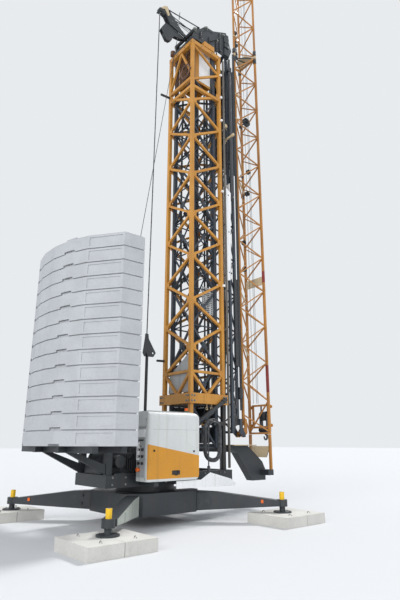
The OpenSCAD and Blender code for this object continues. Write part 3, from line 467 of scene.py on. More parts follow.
def hose(name, points, radius, finish, body):
    """A fixed hose or pipe along a few points, rounded where it bends."""
    line = bpy.data.curves.new(name, "CURVE")
    line.dimensions = "3D"
    line.bevel_depth = radius
    line.bevel_resolution = 2
    line.resolution_u = 8
    line.use_fill_caps = True
    path = line.splines.new("NURBS")
    path.points.add(len(points) - 1)
    for point, place in zip(path.points, points):
        point.co = (*place, 1)
    path.use_endpoint_u = True
    path.order_u = 3
    line.materials.append(finish)
    made = bpy.data.objects.new(name, line)
    bpy.context.scene.collection.objects.link(made)
    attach(made, body)
    return made


RIGHT, LEFT = -1, 1
print("modelling helpers ready")

# %% [markdown]
# Two ropes run from the slewing platform to the strut at the tower's head. The thick one is the
# guy that holds the jib, the thin one hoists the load. Both end on the inner tower, which rises
# when the tower telescopes.

# %% Ropes to the tower head
def tower_rope(name, start, end, radius, rings=60):
    mesh = bmesh.new()
    start, end = Vector(start), Vector(end)
    for k in range(rings):
        low, high = start.lerp(end, k / rings), start.lerp(end, (k + 1) / rings)
        rod(mesh, low, high, radius, 8)
    bmesh.ops.remove_doubles(mesh, verts=mesh.verts, dist=0.0005)
    inner = [f for f in mesh.faces if len(f.verts) > 4 and min(f.calc_center_median().z - start.z,
                                                               end.z - f.calc_center_median().z) > 0.02]
    bmesh.ops.delete(mesh, geom=inner, context="FACES_ONLY")
    rope = close(name, mesh, greased_rope, None)
    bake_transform(rope)
    return rope


rope_low, rope_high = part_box("rear_guy_rope")
guy_rope = tower_rope("guy_rope", (-0.075, 0, rope_low[2]), (0.013, 0, rope_high[2]), 0.014)
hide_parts("rear_guy_rope")
tower_rope("hoist_rope", (-1.196, -0.06, 1.26), (0.67, -0.025, 13.41), 0.008)

# %% [markdown]
# The tower gets what a lattice mast carries: gusset plates where braces meet the chords, bolts on
# the heavy base frame, ladders and hoses inside, and a second set of braces on the dark inner
# tower. Heights follow the same bays as the steelwork.

# %% Tower fittings
TOWER_X = 1.380
OUTER = 0.513
INNER = 0.385
LEVEL0 = 3.260
BAY = 1.188
base_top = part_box("tower_base_frame")[1][2]
top_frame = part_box("tower_top_frame")
collar = LEVEL0 + 7 * BAY


def on_side(side, along, out, z):
    """A point on one of the tower's four sides: along it, out from its axis, at a height."""
    return {
        "rear": (TOWER_X - out, -along, z), "front": (TOWER_X + out, along, z),
        "right": (TOWER_X - along, -out, z), "left": (TOWER_X + along, out, z),
    }[side]


def outward(side):
    return Vector({"rear": (-1, 0, 0), "front": (1, 0, 0), "right": (0, -1, 0), "left": (0, 1, 0)}[side])


SIDES = ["rear", "front", "right", "left"]
gussets = bmesh.new()
for side in SIDES:
    for k in range(15):
        z = LEVEL0 + k * BAY / 2
        s = -1 if k % 2 == 0 else 1
        edge, tip = s * (OUTER - 0.044), s * (OUTER - 0.135)
        corners = [(edge, z - 0.09), (edge, z + 0.09), (tip, z + 0.035), (tip, z - 0.035)]
        slab(gussets, [on_side(side, a, OUTER + 0.0295, h) for a, h in corners], outward(side) * 0.007)
close("tower_gussets", gussets, yellow, "slewing_platform")

bolts = bmesh.new()
base_low, base_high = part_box("tower_base_frame")
for side in SIDES:
    for a in (-0.55, -0.47, 0.47, 0.55):
        for z in (base_low[2] + 0.06, base_high[2] - 0.06):
            bolt(bolts, on_side(side, a, base_high[1] - 0.0005, z), outward(side), 0.017)
    for a in (-0.5, -0.2, 0.2, 0.5):
        bolt(bolts, on_side(side, a, top_frame[1][1] - 0.0005, top_frame[0][2] + 0.065), outward(side), 0.013)
close("tower_bolts", bolts, zinc, "slewing_platform")

braces = bmesh.new()
rungs = bmesh.new()
INNER_LOW, INNER_HIGH = 1.500, 13.300
inner_bay = (INNER_HIGH - INNER_LOW) / 12
for k in range(10):
    low = INNER_LOW + k * inner_bay
    s = 1 if k % 2 == 0 else -1
    for side in SIDES:
        out = INNER - 0.012
        reach = INNER - 0.045
        rod(braces, on_side(side, s * reach, out, low + 0.05), on_side(side, -s * reach, out, low + inner_bay - 0.05), 0.021, 8)
        rod(braces, on_side(side, -reach, out, low), on_side(side, reach, out, low), 0.019, 8)
        middle = low + inner_bay / 2
        slab(braces, [on_side(side, a, out + 0.02, h) for a, h in
                      ((-0.09, middle), (0, middle + 0.11), (0.09, middle), (0, middle - 0.11))], outward(side) * 0.008)
    for step in range(3):
        z = low + step * inner_bay / 3 + 0.08
        rod(rungs, (TOWER_X + 0.20, -0.19, z), (TOWER_X + 0.20, 0.19, z), 0.012, 8)
for y in (-0.2, 0.2):
    block(rungs, (TOWER_X + 0.18, y - 0.012, INNER_LOW + 0.1), (TOWER_X + 0.225, y + 0.012, INNER_HIGH - 1.5), 0.004)
close("inner_braces", braces, slate, "inner_tower")
close("inner_ladder", rungs, charcoal, "inner_tower")
for k, (x, y, r) in enumerate([(1.13, -0.22, 0.030), (1.20, -0.27, 0.022), (1.62, -0.28, 0.034), (1.12, 0.24, 0.030), (1.60, 0.22, 0.026)]):
    hose("inner_hose_%d" % k, [(x, y, INNER_LOW + 0.1), (x + 0.03, y, 4.5), (x - 0.02, y + 0.02, 8.0), (x, y, 11.7)],
         r, rubber, "inner_tower")

foot_panels = bmesh.new()
for low, high in ((1.62, 1.98), (2.06, 2.46)):
    block(foot_panels, (1.02, 0.352, low), (1.74, 0.360, high), 0.004)
    block(foot_panels, (1.735, -0.35, low), (1.743, 0.35, high), 0.004)
for k in range(6):
    block(foot_panels, (1.05 + 0.11 * k, -0.30, 1.60 + 0.04 * (k % 3)), (1.12 + 0.11 * k, -0.16, 1.82 + 0.09 * (k % 2)), 0.012)
close("inner_foot_panels", foot_panels, charcoal, "inner_tower")
louvre = bmesh.new()
for k in range(14):
    z = 4.80 + k * 0.052
    block(louvre, (1.36, -0.374, z), (1.72, -0.352, z + 0.034), 0.004)
for x in (1.36, 1.70):
    block(louvre, (x, -0.380, 4.78), (x + 0.02, -0.350, 5.53))
close("inner_louvre", louvre, panel_paint, "inner_tower")
pale = bmesh.new()
slab(pale, [(0.898, y, z) for y, z in ((0.40, 2.78), (-0.40, 2.78), (-0.40, 3.72), (0.36, 3.22))], (0.006, 0, 0))
close("rear_guard_plate", pale, panel_paint, "slewing_platform")
# Five small white blocks on the tower's front right corner are painted highlights: glints on the corner chord.
painted_glint_blocks = bmesh.new()
for z in (12.37, 11.56, 10.75, 8.40, 5.60):
    block(painted_glint_blocks, (1.895, -0.615, z - 0.03), (1.955, -0.5575, z + 0.03), 0.008)
close("tower_painted_glints", painted_glint_blocks, white_paint, "slewing_platform")
print("tower gussets, bolts, braces, ladder and hoses")

# %% [markdown]
# The head carries the most machinery: a plain white sign plate, a dark grating on its rear side,
# rope sheaves with deep grooves between the cheek plates, pins with nuts, and the rods that tie
# the strut back. Sheaves are turned: a profile of a rim, a groove and a web goes round the axle.

# %% Tower head
def sheave(mesh, centre, radius, width, groove, steps=36):
    """A rope wheel on an axle along Y, spun from half its cross-section."""
    centre = Vector(centre)
    half = width / 2
    profile = [
        (0.25, -half), (0.30, -half), (0.34, -half * 0.35), (0.80, -half * 0.35), (0.86, -half), (1.0, -half),
        (1 - groove, 0), (1.0, half), (0.86, half), (0.80, half * 0.35), (0.34, half * 0.35), (0.30, half), (0.25, half),
    ]
    corners = [mesh.verts.new(centre + Vector((share * radius, across, 0))) for share, across in profile]
    edges = [mesh.edges.new(pair) for pair in zip(corners, corners[1:] + corners[:1])]
    bmesh.ops.spin(mesh, geom=corners + edges, cent=centre, axis=(0, 1, 0), angle=math.tau, steps=steps,
                   use_merge=True, use_duplicate=False)


sign = bmesh.new()
head_low, head_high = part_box("head_box")
block(sign, (1.265, head_low[1] - 0.008, 11.97), (1.70, head_low[1] - 0.0005, 13.20), 0.003)
close("head_sign_plate", sign, white_paint, "inner_tower")

grating = bmesh.new()
for k in range(13):
    y = -0.27 + k * 0.045
    rod(grating, (head_low[0] - 0.012, y, 12.0), (head_low[0] - 0.012, y, 13.2), 0.008, 6)
for k in range(12):
    z = 12.02 + k * 0.105
    block(grating, (head_low[0] - 0.024, -0.29, z), (head_low[0] - 0.006, 0.29, z + 0.016))
close("head_grating", grating, rust_paint, "inner_tower")

cap = bmesh.new()
block(cap, (1.30, -0.56, 13.12), (1.70, -0.3325, 13.2995), 0.012)
close("head_yellow_block", cap, yellow, "inner_tower")

wheels = bmesh.new()
for x, z, radius in [(1.30, 13.74, 0.16), (1.90, 13.76, 0.20), (2.18, 14.16, 0.18), (1.45, 13.96, 0.16)]:
    for y in (-0.17, -0.06, 0.06, 0.17):
        sheave(wheels, (x, y, z), radius, 0.05, 0.14)
for y in (-0.022, 0.022):
    sheave(wheels, (0.30, y, 13.23), 0.155, 0.038, 0.12)
close("head_sheaves", wheels, charcoal, "inner_tower")

pins = bmesh.new()
for side in (RIGHT, LEFT):
    for x, z, radius in [(2.36, 13.75, 0.052), (1.0, 13.62, 0.045), (1.90, 13.76, 0.04), (2.18, 14.16, 0.04), (1.45, 13.96, 0.045)]:
        bolt(pins, (x, side * 0.4455, z), (0, side, 0), radius)
    for x, z in [(1.05, 13.45), (1.3, 13.45), (1.75, 13.47), (2.1, 13.5), (2.3, 13.46), (1.45, 13.9), (2.3, 14.25)]:
        bolt(pins, (x, side * 0.4455, z), (0, side, 0), 0.016)
    for x, z in [(0.30, 13.95), (0.42, 13.80), (0.62, 13.75), (0.86, 13.62)]:
        bolt(pins, (x, side * 0.0895, z), (0, side, 0), 0.016)
close("head_pins", pins, zinc, "inner_tower")

cheeks = bmesh.new()
for side in (RIGHT, LEFT):
    y0 = side * 0.4455
    slab(cheeks, [(x, y0, z) for x, z in
                  [(2.27, 13.62), (2.46, 13.62), (2.49, 13.80), (2.40, 13.93), (2.26, 13.86)]], (0, side * 0.012, 0))
    slab(cheeks, [(x, y0, z) for x, z in
                  [(0.98, 13.53), (1.44, 14.02), (1.75, 14.04), (1.75, 13.96), (1.49, 13.93), (1.10, 13.50)]], (0, side * 0.008, 0))
    for x in (1.2, 1.55, 1.85):
        block(cheeks, (x, min(y0, y0 + side * 0.05), 13.42), (x + 0.02, max(y0, y0 + side * 0.05), 13.68), 0.003)
close("head_cheeks", cheeks, charcoal, "inner_tower")
for k, (y, sag) in enumerate([(-0.11, 0.10), (-0.03, 0.16), (0.06, 0.05)]):
    hose("head_hose_%d" % k, [(1.20, y, 13.9), (1.35, y - 0.05, 14.1 - sag), (1.75, y - 0.12, 14.05 - sag),
                              (2.1, y - 0.1, 13.7), (2.28, y, 13.3), (2.30, y, 12.6)], 0.018, rubber, "inner_tower")
fork = bmesh.new()
for side in (RIGHT, LEFT):
    slab(fork, [(x, side * 0.0985, z) for x, z in
                [(-0.02, 14.01), (0.11, 14.19), (0.22, 14.235), (0.31, 13.97), (0.25, 13.90), (0.13, 14.08)]], (0, side * 0.006, 0))
close("strut_fork_plates", fork, tan_paint, "inner_tower")
arm_rope = bmesh.new()
for y, z in ((-0.05, 13.98), (-0.02, 14.02), (0.02, 14.02), (0.05, 13.98)):
    rod(arm_rope, (0.25, y, 14.10), (1.44, y, z), 0.007, 6)
rod(arm_rope, (0.66, -0.11, 14.05), (0.68, -0.11, 14.33), 0.012, 8)
close("strut_ropes", arm_rope, greased_rope, "inner_tower")
stub = bmesh.new()
rod(stub, (0.50, 0.513, 11.60), (0.825, 0.513, 11.64), 0.035, 12)
rod(stub, (0.60, 0.513, 3.60), (0.825, 0.513, 3.61), 0.03, 12)
close("tower_stub_bar", stub, charcoal, "slewing_platform")
mesh_net = bmesh.new()
for k in range(11):
    y = -0.16 + k * 0.05
    rod(mesh_net, (0.925, y, 11.86), (0.925, y, 12.93), 0.007, 6)
for k in range(14):
    rod(mesh_net, (0.925, -0.17, 11.88 + k * 0.08), (0.925, 0.35, 11.88 + k * 0.08), 0.005, 6)
close("tower_top_netting", mesh_net, rust_paint, "slewing_platform")
guide = bmesh.new()
ring = [Vector((0.795, -0.27 + 0.21 * math.cos(math.tau * k / 6), 12.06 + 0.24 * math.sin(math.tau * k / 6))) for k in range(6)]
for k in range(6):
    rod(guide, ring[k], ring[(k + 1) % 6], 0.022, 8)
for k in (1, 2, 4):
    rod(guide, ring[k], ring[k] + Vector((0.06, 0, 0)), 0.018, 8)
rod(guide, (0.795, -0.48, 12.06), (0.830, -0.50, 12.06), 0.03, 10)
rod(guide, (0.800, 0.37, 13.10), (0.800, 0.37, 13.24), 0.075, 20)
rod(guide, (0.800, 0.37, 13.24), (0.800, 0.37, 13.27), 0.06, 20, 0.02)
close("tower_rope_guide", guide, rust_paint, "slewing_platform")
hooks = bmesh.new()
for y, x in ((-0.50, 1.38), (-0.50, 1.53)):
    rod(hooks, (x, y, 2.43), (x, y, 2.4995), 0.014, 12)
    torus(hooks, (x, y, 2.400), (0, 1, 0), 0.030, 0.010)
close("base_frame_hooks", hooks, tan_paint, "slewing_platform")
sleeve = bmesh.new()
for side in (RIGHT, LEFT):
    low, high = Vector((1.414, side * 0.655, 2.332)), Vector((1.850, side * 0.655, 2.620))
    rod(sleeve, low + (high - low) * 0.02, low + (high - low) * 0.88, 0.048, 20)
    rod(sleeve, low + (high - low) * 0.80, low + (high - low) * 0.90, 0.060, 20)
close("erecting_sleeves", sleeve, charcoal, "slewing_platform")
column = bmesh.new()
for side in (RIGHT, LEFT):
    for low, high, wide in ((13.40, 13.66, 0.05), (13.70, 13.86, 0.07), (13.90, 14.12, 0.05), (14.14, 14.26, 0.035)):
        block(column, (2.20, min(side * 0.4455, side * (0.4455 + wide)), low),
              (2.40, max(side * 0.4455, side * (0.4455 + wide)), high), 0.01)
    rod(column, (2.02, side * 0.47, 13.42), (2.02, side * 0.47, 14.14), 0.026, 12)
    rod(column, (1.60, side * 0.47, 13.55), (2.02, side * 0.47, 13.95), 0.02, 10)
close("head_column_boxes", column, charcoal, "inner_tower")
print("head: sign, grating, sheaves, pins and hoses")

# %% [markdown]
# Along the folded jib run ropes, guide rollers, light brackets and a few stretches of chord with
# red primer showing. Both jib sections get bolted collars.

# %% Jib fittings
PIN_X, JIB_HALF, TOP_2, BOTTOM_2 = 2.360, 0.360, 3.120, 3.750
rollers = bmesh.new()
for y, z, radius in ((0.02, 11.86, 0.15), (0.0, 9.97, 0.08), (0.08, 9.22, 0.08), (0.29, 7.60, 0.08), (0.29, 6.72, 0.08)):
    sheave(rollers, (BOTTOM_2 - 0.12, y, z), radius, 0.07, 0.16)
    rod(rollers, (BOTTOM_2 - 0.12, y - 0.06, z), (BOTTOM_2 - 0.12, JIB_HALF - 0.02, z), 0.02)
    block(rollers, (BOTTOM_2 - 0.14, JIB_HALF - 0.06, z - 0.05), (BOTTOM_2 - 0.0305, JIB_HALF - 0.02, z + 0.05), 0.008)
close("jib_rollers", rollers, charcoal, "jib_outer")

tan_plates_and_painted_highlights = bmesh.new()
block(tan_plates_and_painted_highlights, (BOTTOM_2 - 0.026, -JIB_HALF + 0.031, 6.08), (BOTTOM_2 - 0.018, JIB_HALF - 0.031, 6.34), 0.002)
for z in (11.73, 12.69, 15.10):
    block(tan_plates_and_painted_highlights, (TOP_2 - 0.033, -0.033, z), (TOP_2 + 0.12, 0.033, z + 0.05), 0.006)
# The three pale tan rods between the top chord and a bottom chord are painted highlights, where the braces catch the
# light.
for z in (5.55, 4.05, 9.35):
    rod(tan_plates_and_painted_highlights, (TOP_2 + 0.03, 0.02, z + 0.30), (BOTTOM_2 - 0.03, JIB_HALF - 0.04, z + 0.02), 0.026, 8)
close("jib_tan_plates_and_painted_highlights", tan_plates_and_painted_highlights, tan_paint, "jib_outer")

red = bmesh.new()
for low, high in ((6.15, 6.50), (2.95, 3.70)):
    block(red, (BOTTOM_2 - 0.0315, -JIB_HALF - 0.0315, low), (BOTTOM_2 + 0.0305, -JIB_HALF + 0.0315, high), 0.002)
close("jib_red_primer", red, primer_red, "jib_outer")

lines = bmesh.new()
tip_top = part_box("jib_tip_bottom")[1][2]
for x, y in ((BOTTOM_2 - 0.09, 0.12), (BOTTOM_2 - 0.06, 0.02), (BOTTOM_2 - 0.09, -0.06)):
    rod(lines, (x, y, 2.66), (x, y, tip_top - 0.03), 0.006, 6)
close("jib_ropes", lines, greased_rope, "jib_outer")

collars = bmesh.new()
for z in (1.92, 5.87, 9.02, 12.17):
    for side in (RIGHT, LEFT):
        block(collars, (BOTTOM_2 - 0.038, side * JIB_HALF - 0.038, z), (BOTTOM_2 + 0.0305, side * JIB_HALF + 0.038, z + 0.07), 0.006)
    block(collars, (TOP_2 - 0.038, -0.038, z), (TOP_2 + 0.038, 0.038, z + 0.07), 0.006)
close("jib_collars", collars, jib_yellow, "jib_outer")

knuckles = bmesh.new()
joint_low, joint_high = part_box("jib_end_joint")
for x, y in ((BOTTOM_2, -JIB_HALF), (BOTTOM_2, JIB_HALF), (TOP_2, 0)):
    for z in (joint_low[2] - 0.22, joint_high[2] + 0.04):
        block(knuckles, (x - 0.045, y - 0.048, z), (x + 0.0305, y + 0.048, z + 0.18), 0.01)
    torus(knuckles, (x, y, joint_low[2] - 0.05), (0, 1, 0), 0.05, 0.014)
    rod(knuckles, (x - 0.07, y, joint_high[2] + 0.02), (x + 0.03, y, joint_high[2] + 0.34), 0.018)
    rod(knuckles, (TOP_2 + 0.02, 0.0, joint_low[2] - 0.10), (BOTTOM_2 - 0.10, y * 0.8, joint_low[2] + 0.02), 0.020, 8)
for k in range(7):
    z = joint_low[2] - 0.05 + 0.17 * k
    block(knuckles, (TOP_2 + 0.02, -0.05 + 0.02 * (k % 3), z), (TOP_2 + 0.13 + 0.03 * (k % 2), 0.05, z + 0.09), 0.012)
rod(knuckles, (TOP_2 - 0.066, 0.0, 2.45), (TOP_2 - 0.066, 0.0, joint_low[2]), 0.034, 12)
rod(knuckles, (TOP_2 - 0.120, 0.0, 9.60), (TOP_2 - 0.120, 0.0, 13.50), 0.030, 12)
for z in (9.70, 10.6, 11.5, 12.4, 13.3):
    block(knuckles, (TOP_2 - 0.150, -0.016, z), (TOP_2 - 0.02, 0.016, z + 0.05), 0.006)
close("jib_knuckles", knuckles, charcoal, "jib_outer")

sleeves = bmesh.new()
for side in (RIGHT, LEFT):
    block(sleeves, (BOTTOM_2 - 0.0312, side * JIB_HALF - 0.0312, 0.9405), (BOTTOM_2 + 0.0312, side * JIB_HALF + 0.0312, 1.8340), 0.001)
close("jib_rest_posts", sleeves, jib_yellow, "slewing_platform")
rest = bmesh.new()
block(rest, (2.426, -0.335, 1.546), (3.255, 0.335, 1.5665), 0.002)
slab(rest, [(BOTTOM_2 - 0.0105, y, z) for y, z in
            ((-0.329, 1.53), (0.329, 1.53), (0.329, 1.48), (0.22, 1.24), (-0.22, 1.24), (-0.329, 1.48))], (-0.004, 0, 0))
close("jib_rest_plates", rest, tan_paint, "slewing_platform")

root = bmesh.new()
for side in (RIGHT, LEFT):
    for k, z in enumerate((9.95, 10.9, 11.85, 12.8)):
        rod(root, (PIN_X - 0.038, side * (JIB_HALF - 0.02), z), (PIN_X - 0.038, side * 0.05, z + 0.45), 0.022, 8)
        bolt(root, (PIN_X, side * (JIB_HALF + 0.0355), z), (0, side, 0), 0.02)
    rod(root, (PIN_X + 0.06, side * (JIB_HALF + 0.085), 8.4), (PIN_X + 0.06, side * (JIB_HALF + 0.085), 12.9), 0.05, 16)
    rod(root, (PIN_X + 0.06, side * (JIB_HALF + 0.085), 12.9), (PIN_X + 0.06, side * (JIB_HALF + 0.085), 13.34), 0.040, 12)
    for z in (8.35, 12.86):
        block(root, (PIN_X - 0.02, min(side * 0.39, side * 0.50), z), (PIN_X + 0.11, max(side * 0.39, side * 0.50), z + 0.09), 0.01)
close("jib_root_cylinders", root, charcoal, "jib_inner")
disc = bmesh.new()
rod(disc, (2.154, -0.535, 10.71), (2.154, -0.515, 10.71), 0.062, 24)
rod(disc, (2.154, -0.515, 10.71), (2.154, -0.47, 10.71), 0.022, 10)
rod(disc, (2.154, -0.48, 10.71), (PIN_X - 0.02, -JIB_HALF, 10.74), 0.016, 8)
block(disc, (2.196, -0.79, 10.262), (2.232, -0.405, 10.322), 0.006)
block(disc, (2.196, -0.43, 10.17), (2.232, -0.400, 10.322), 0.006)
block(disc, (2.190, -0.80, 10.25), (2.238, -0.71, 10.334), 0.006)
rod(disc, (2.214, -0.42, 10.29), (PIN_X - 0.02, -JIB_HALF, 10.32), 0.018, 8)
close("jib_root_bracket", disc, tan_paint, "jib_inner")
sheet = bmesh.new()
slab(sheet, [(2.066, -0.500, 5.80), (2.250, -0.500, 5.85), (2.320, -0.500, 8.52), (2.070, -0.500, 8.69)], (0, -0.010, 0))
close("jib_panel_sheet", sheet, panel_white, "jib_inner")
brackets = bmesh.new()
for z in (6.05, 7.25, 8.40):
    block(brackets, (2.085, -0.500, z), (PIN_X - 0.03, -0.472, z + 0.035), 0.004)
    rod(brackets, (2.31, -0.486, z + 0.018), (PIN_X - 0.01, -JIB_HALF - 0.02, z + 0.018), 0.014, 8)
    for x in (2.12, 2.22):
        bolt(brackets, (x, -0.5095, z + 0.018), (0, -1, 0), 0.012)
close("jib_panel_brackets", brackets, charcoal, "jib_inner")
stowed = bmesh.new()
rod(stowed, (3.985, 0, 2.01), (3.985, 0, 1.90), 0.045, 16)
rod(stowed, (3.985, 0, 1.925), (3.985, 0, 1.88), 0.068, 20)
arc = [Vector((3.985 + 0.062 * math.sin(a), 0, 1.775 + 0.075 * math.cos(a))) for a in [math.radians(d) for d in range(0, 300, 20)]]
for k in range(len(arc) - 1):
    rod(stowed, arc[k], arc[k + 1], 0.034 - 0.0012 * k, 12)
rod(stowed, (3.985, 0, 1.90), arc[0], 0.036, 12)
for side in (RIGHT, LEFT):
    slab(stowed, [(x, side * 0.132, z) for x, z in
                  ((3.86, 2.02), (4.07, 2.02), (4.07, 1.93), (4.02, 1.86), (3.93, 1.86), (3.86, 1.93))], (0, side * 0.010, 0))
rod(stowed, (3.985, -0.14, 1.93), (3.985, 0.14, 1.93), 0.022, 12)
close("stowed_hook", stowed, charcoal, "trolley")
foot = bmesh.new()
slope = Vector((0.540, JIB_HALF, 0)).normalized()
away = Vector((slope.y, -slope.x, 0))
for along, wide, low, high in ((0.10, 0.16, 1.90, 2.62), (0.30, 0.26, 2.02, 2.30), (0.34, 0.20, 2.46, 2.74), (0.12, 0.10, 2.86, 3.20)):
    start = Vector((PIN_X, -JIB_HALF, 0)) + slope * along + away * 0.0195
    slab(foot, [start + Vector((0, 0, low)), start + slope * wide + Vector((0, 0, low + 0.05)),
                start + slope * wide + Vector((0, 0, high - 0.05)), start + Vector((0, 0, high))], away * 0.010)
rod(foot, (2.985, -0.045, 2.76), (2.985, -0.045, 3.03), 0.075, 20)
for z in (2.76, 3.03):
    rod(foot, (2.985, -0.045, z - 0.025), (2.985, -0.045, z + 0.025), 0.055, 20)
rod(foot, (2.93, -0.03, 2.9), (2.88, -0.02, 2.9), 0.02, 8)
close("jib_foot_plates", foot, charcoal, "jib_inner")
for k, (out, r) in enumerate([(0.07, 0.020), (0.11, 0.014), (0.15, 0.016)]):
    hose("jib_hose_%d" % k, [(2.42, 0.06 * k, 13.3), (2.41 + out, 0.05 * k, 10.0), (2.43 + out, -0.04 * k, 6.5),
                             (2.41 + out, 0.04 * k, 3.6), (2.45, 0.02 * k, 2.2)], r, rubber, "jib_inner")
print("jib: rollers, plates, ropes, collars and hoses")

# %% [markdown]
# The machine cabinet is a moulded hood with a darker lower panel. Its lid seam, a folding handle,
# two locks and the grey switch panel with its sockets are separate small pieces, and bolts line
# the slewing ring and the platform sides. All of them sit on the faces that the solid model gives.

# %% Cabinet and platform
cab_low, cab_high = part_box("cabinet_housing")
side_y = cab_low[1]
trim = bmesh.new()
block(trim, (cab_low[0] + 0.10, side_y - 0.002, 1.868), (cab_high[0] - 0.06, side_y + 0.002, 1.874), 0.001)
for y0, y1 in ((side_y + 0.075, side_y + 0.095), (cab_high[1] - 0.03, cab_high[1] - 0.01)):
    block(trim, (cab_low[0] - 0.010, y0, cab_low[2] + 0.03), (cab_low[0] + 0.0005, y1, cab_high[2] - 0.14), 0.003)
block(trim, (cab_low[0] - 0.010, side_y + 0.0955, 1.918), (cab_low[0] + 0.0005, cab_high[1] - 0.031, 1.932), 0.003)
block(trim, (cab_low[0] + 0.03, side_y + 0.10, cab_high[2] - 0.002), (cab_high[0] - 0.14, side_y + 0.125, cab_high[2] + 0.012), 0.004)
close("cabinet_seams", trim, panel_paint, "slewing_platform")

locks = bmesh.new()
for x, z in ((-0.62, 1.46), (0.40, 1.44)):
    rod(locks, (x, side_y - 0.0005, z), (x, side_y - 0.014, z), 0.020, 20)
    block(locks, (x - 0.005, side_y - 0.022, z - 0.013), (x + 0.005, side_y - 0.013, z + 0.013), 0.002)
block(locks, (-0.17, side_y - 0.012, 0.995), (0.03, side_y - 0.0005, 1.075), 0.008)
torus(locks, (-0.07, side_y - 0.022, 1.04), (0, 1, 0), 0.05, 0.010, turn=180)
close("cabinet_locks", locks, rubber, "slewing_platform")

sockets = bmesh.new()
ctrl_low, ctrl_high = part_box("control_panel")
face_x = ctrl_low[0]
for row in range(3):
    for place in range(2):
        y, z = -1.05 + place * 0.13, 1.22 + row * 0.13
        rod(sockets, (face_x + 0.0005, y, z), (face_x - 0.028, y, z), 0.025, 20)
        torus(sockets, (face_x - 0.028, y, z), (1, 0, 0), 0.025, 0.005)
for k in range(3):
    rod(sockets, (face_x + 0.0005, -1.05 + k * 0.06, 1.66), (face_x - 0.03, -1.05 + k * 0.06, 1.66), 0.014, 16)
torus(sockets, (face_x - 0.012, -0.99, 1.60), (0, 1, 0), 0.055, 0.007, 14, 8, 180)
close("control_sockets", sockets, rubber, "slewing_platform")
meter = bmesh.new()
block(meter, (face_x - 0.030, -0.935, 1.28), (face_x + 0.0005, -0.855, 1.62), 0.010)
block(meter, (face_x - 0.012, -1.115, 1.715), (face_x + 0.0005, -0.86, 1.87), 0.005)
close("control_meter_box", meter, white_paint, "slewing_platform")
stop = bmesh.new()
rod(stop, (face_x + 0.0005, -0.93, 1.10), (face_x - 0.045, -0.93, 1.10), 0.032, 24)
rod(stop, (face_x - 0.045, -0.93, 1.10), (face_x - 0.06, -0.93, 1.10), 0.044, 24, 0.036)
close("control_stop", stop, signal_orange, "slewing_platform")

machinery = bmesh.new()
for k in range(13):
    y = -0.30 + k * 0.05
    torus(machinery, (-1.02, y, 1.25), (0, 1, 0), 0.176, 0.012)
for k in range(9):
    block(machinery, (-0.58, -0.37 + k * 0.085, 1.06), (-0.565, -0.33 + k * 0.085, 1.38), 0.003)
for y in (-0.25, -0.05, 0.15):
    rod(machinery, (-0.5, y, 1.42), (-0.5, y, 1.50), 0.05, 18)
    rod(machinery, (-0.5, y, 1.50), (-0.5, y, 1.53), 0.03, 6)
block(machinery, (-1.30, -0.35, 1.001), (-1.20, 0.35, 1.20), 0.01)
close("winch_rope_and_fins", machinery, charcoal, "slewing_platform")
for k, (y, r) in enumerate([(-0.50, 0.022), (-0.44, 0.016), (0.30, 0.02), (-0.36, 0.018)]):
    hose("deck_hose_%d" % k, [(-0.60, y * 0.6, 1.3), (-0.45, y, 1.62 - 0.05 * k), (0.0, y, 1.30), (0.5, y, 1.12),
                              (0.86, y * 0.9, 1.4), (0.93, y * 0.8, 2.2)], r, rubber, "slewing_platform")

eyes = bmesh.new()
ring_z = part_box("slewing_ring_upper")
for k in range(36):
    a = math.tau * k / 36
    bolt(eyes, (0.60 * math.cos(a), 0.60 * math.sin(a), ring_z[1][2] - 0.0005), (0, 0, 1), 0.010)
for s in (RIGHT, LEFT):
    for x in (-1.2, -0.9, -0.4, 0.1, 0.7, 1.2, 1.8):
        bolt(eyes, (x, s * 0.6405, 0.82), (0, s, 0), 0.014)
        bolt(eyes, (x, s * 0.6405, 0.95), (0, s, 0), 0.014)
close("platform_bolts", eyes, zinc, "slewing_platform")
print("cabinet, sockets, winch rope, hoses and bolts")

# %% [markdown]
# Under the platform each outrigger ends in a hinged foot. The near leg shows a light grey folded
# box, every leg carries an orange reflector, and the sleepers have lifting loops cast in.

# %% Outriggers and sleepers
FOOT = 2.100
leg_tip = FOOT * math.sqrt(2)


def along_leg(angle, run, across, z):
    return Vector((run * math.cos(angle) - across * math.sin(angle), run * math.sin(angle) + across * math.cos(angle), z))


near = math.radians(225)
box_end = bmesh.new()
outline = [(1.20, 0.250), (2.88, 0.338), (2.88, 0.432), (1.62, 0.590), (1.20, 0.610)]
slab(box_end, [along_leg(near, run, 0.1205, z) for run, z in outline], along_leg(near, 0, 0.006, 0))
for run in (1.75, 2.35):
    slab(box_end, [along_leg(near, run + d, 0.1265, z) for d, z in ((-0.03, 0.30), (0.03, 0.31), (0.03, 0.48), (-0.03, 0.49))],
         along_leg(near, 0, 0.012, 0))
close("outrigger_box_end", box_end, leg_grey, "undercarriage")

